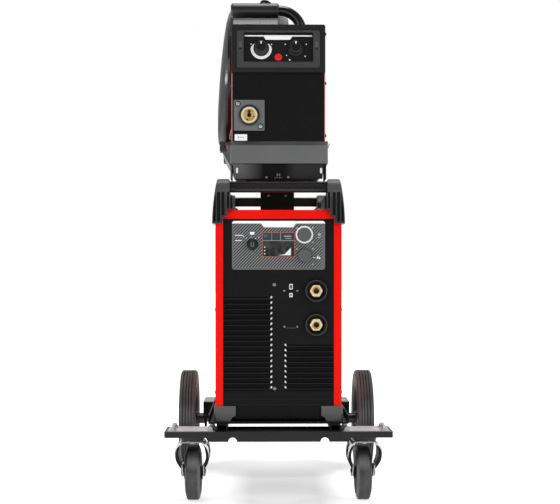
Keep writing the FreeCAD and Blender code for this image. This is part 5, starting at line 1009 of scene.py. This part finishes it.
# Spool hood and cover: blow-moulded black shells with a soft gloss; the cover rides on the door.
# A small screw shows in the hanging eye on top.
@surface
def blown(spot, colour, seam):
    """Blow-moulded shell: slow waves in the skin, a flow tone, and a dark parting line across X near the top. The
    mould was rough on the flat sides and polished round the rim, so only the rim has a gloss coat. A painted
    reflection makes the right shoulder pale."""
    x, _, z = spot.axes()
    parting = abs(x - seam * 0.001).rise(0.0016, 0.0008) * z.rise(1.12, 1.13)
    waves = spots(spot, 26.0)
    flow = spots(spot, 60.0, 3.0)
    aside, _, up = normal_parts(spot)
    # Painted reflection on the right shoulder.
    painted_shoulder_reflection = aside.rise(0.2, 0.35) * aside.rise(1.0, 0.7) * up.rise(0.2, 0.45)
    return {
        "Base Color": parting.mix(painted_shoulder_reflection.mix(flow.rise(0.3, 0.7).tint(colour, 0.93, 1.07), "5e5e5e"), "050505"),
        "Roughness": 0.42 + (waves - 0.5) * 0.1,
        "Specular IOR Level": 0.06,
        "Coat Weight": abs(aside).rise(0.96, 0.84) * up.rise(1.05, 0.5) * 0.5,
        "Coat Roughness": 0.2,
        "Normal": bumps(waves, 0.4, 0.05)}


dress(blown("hood_plastic", "1d1d1e", seam=-43.0), "spool_hood", "spool_cover")
screws("lug_screw", [(-33.7, -141.0, 1187.4)], zinc, "feeder", radius=2.6, height=1.6)


# Wire spool: plastic spool on the braked hub, wound with copper-coated wire.
# The winding is laid turn by turn, each turn a half round, in a slow helix.
@surface
def copper_coat(spot):
    """Copper-coated wire, its tone shifted by a wide noise and a fine one."""
    wide = spots(spot, 20.0, 3.0)
    fine = spots(spot, 1.2)
    return {
        "Base Color": (wide * 0.6 + fine * 0.4).rise(0.3, 0.7).mix("a8623a", "e09a66"),
        "Metallic": 1.0,
        "Roughness": 0.3 + wide * 0.12}


def wound(centre, x0, x1, inner, outer, turns, steps=96, rows=6):
    """Wire laid on a drum. Along the drum the radius rises and falls once a turn as half circles; the lay moves on by
    one turn for each turn of the drum, so the ridges run as a helix. End discs and the bore close it."""
    turn = round_turn(steps)
    along = np.linspace(0, turns, turns * rows + 1)
    pitch = (x1 - x0) / turns
    phase = (along[:, None] - turn[None, :] / (2 * math.pi)) % 1.0
    ridge = np.sqrt(np.clip(1 - (2 * phase - 1) ** 2, 0, 1)) * pitch / 2
    radius = outer - pitch / 2 + ridge
    radius[0] = radius[-1] = outer - pitch / 2
    x = x0 + along * pitch
    radius = np.concatenate([np.full((1, steps), inner), radius, np.full((1, steps), inner)])
    x = np.concatenate([[x0], x, [x1]])
    points = np.stack([x[:, None] + radius * 0, radius * np.cos(turn), radius * np.sin(turn)], -1)
    return points.reshape(-1, 3) + np.asarray(centre, float), rings_to_faces(len(x), steps, True)


wire = wound((0, -60.0, 1019.0), x0=-92.9, x1=3.9, inner=50.1, outer=127.9, turns=81)
winding = piece("wound_wire", wire, copper_coat("copper_wire"), "spool", sharp=70)
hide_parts("wire_winding")
dress(moulded("spool_plastic", "232425", gloss=0.4, grain=1.4), "wire_spool")
dress(moulded("hub_plastic", "7b7d80", gloss=0.45, grain=1.0), "spool_hub")


# Wire drive: cast plate with gearbox and motor, hardened feed rolls, pressure arm with its tension knob.
# Plate and arm are sandy cast alloy, the rolls plain steel.
@surface
def machined(spot, colour, gloss):
    """Cast and machined alloy: a sandy skin, milled faces a little brighter in patches."""
    skin = spots(spot, 0.7, 3.0)
    wide = spots(spot, 25.0)
    return {
        "Base Color": wide.rise(0.35, 0.65).tint(colour, 0.85, 1.05),
        "Metallic": 1.0,
        "Roughness": gloss + (skin - 0.5) * 0.2,
        "Normal": bumps(skin, 0.3, 0.2)}


dress(machined("drive_alloy", "b4b6b8", gloss=0.42), "wire_drive", "pressure_arm")
dress(steel, "feed_roll_lower", "feed_roll_upper")
dress(knob_plastic, "tension_knob")


# Carry handle: bent steel tube in black powder coat, with a foam grip on its upper run.
# The grip is closed cell foam with a satin skin.
dress(powder_coat("tube_paint", "101011", gloss=0.22, dust=0.05, peel=1.2, depth=0.03, specular=0.5), "carry_handle")
dress(moulded("grip_foam", "1b1c1d", gloss=0.4, grain=2.0, depth=0.12, specular=0.5), "handle_grip")
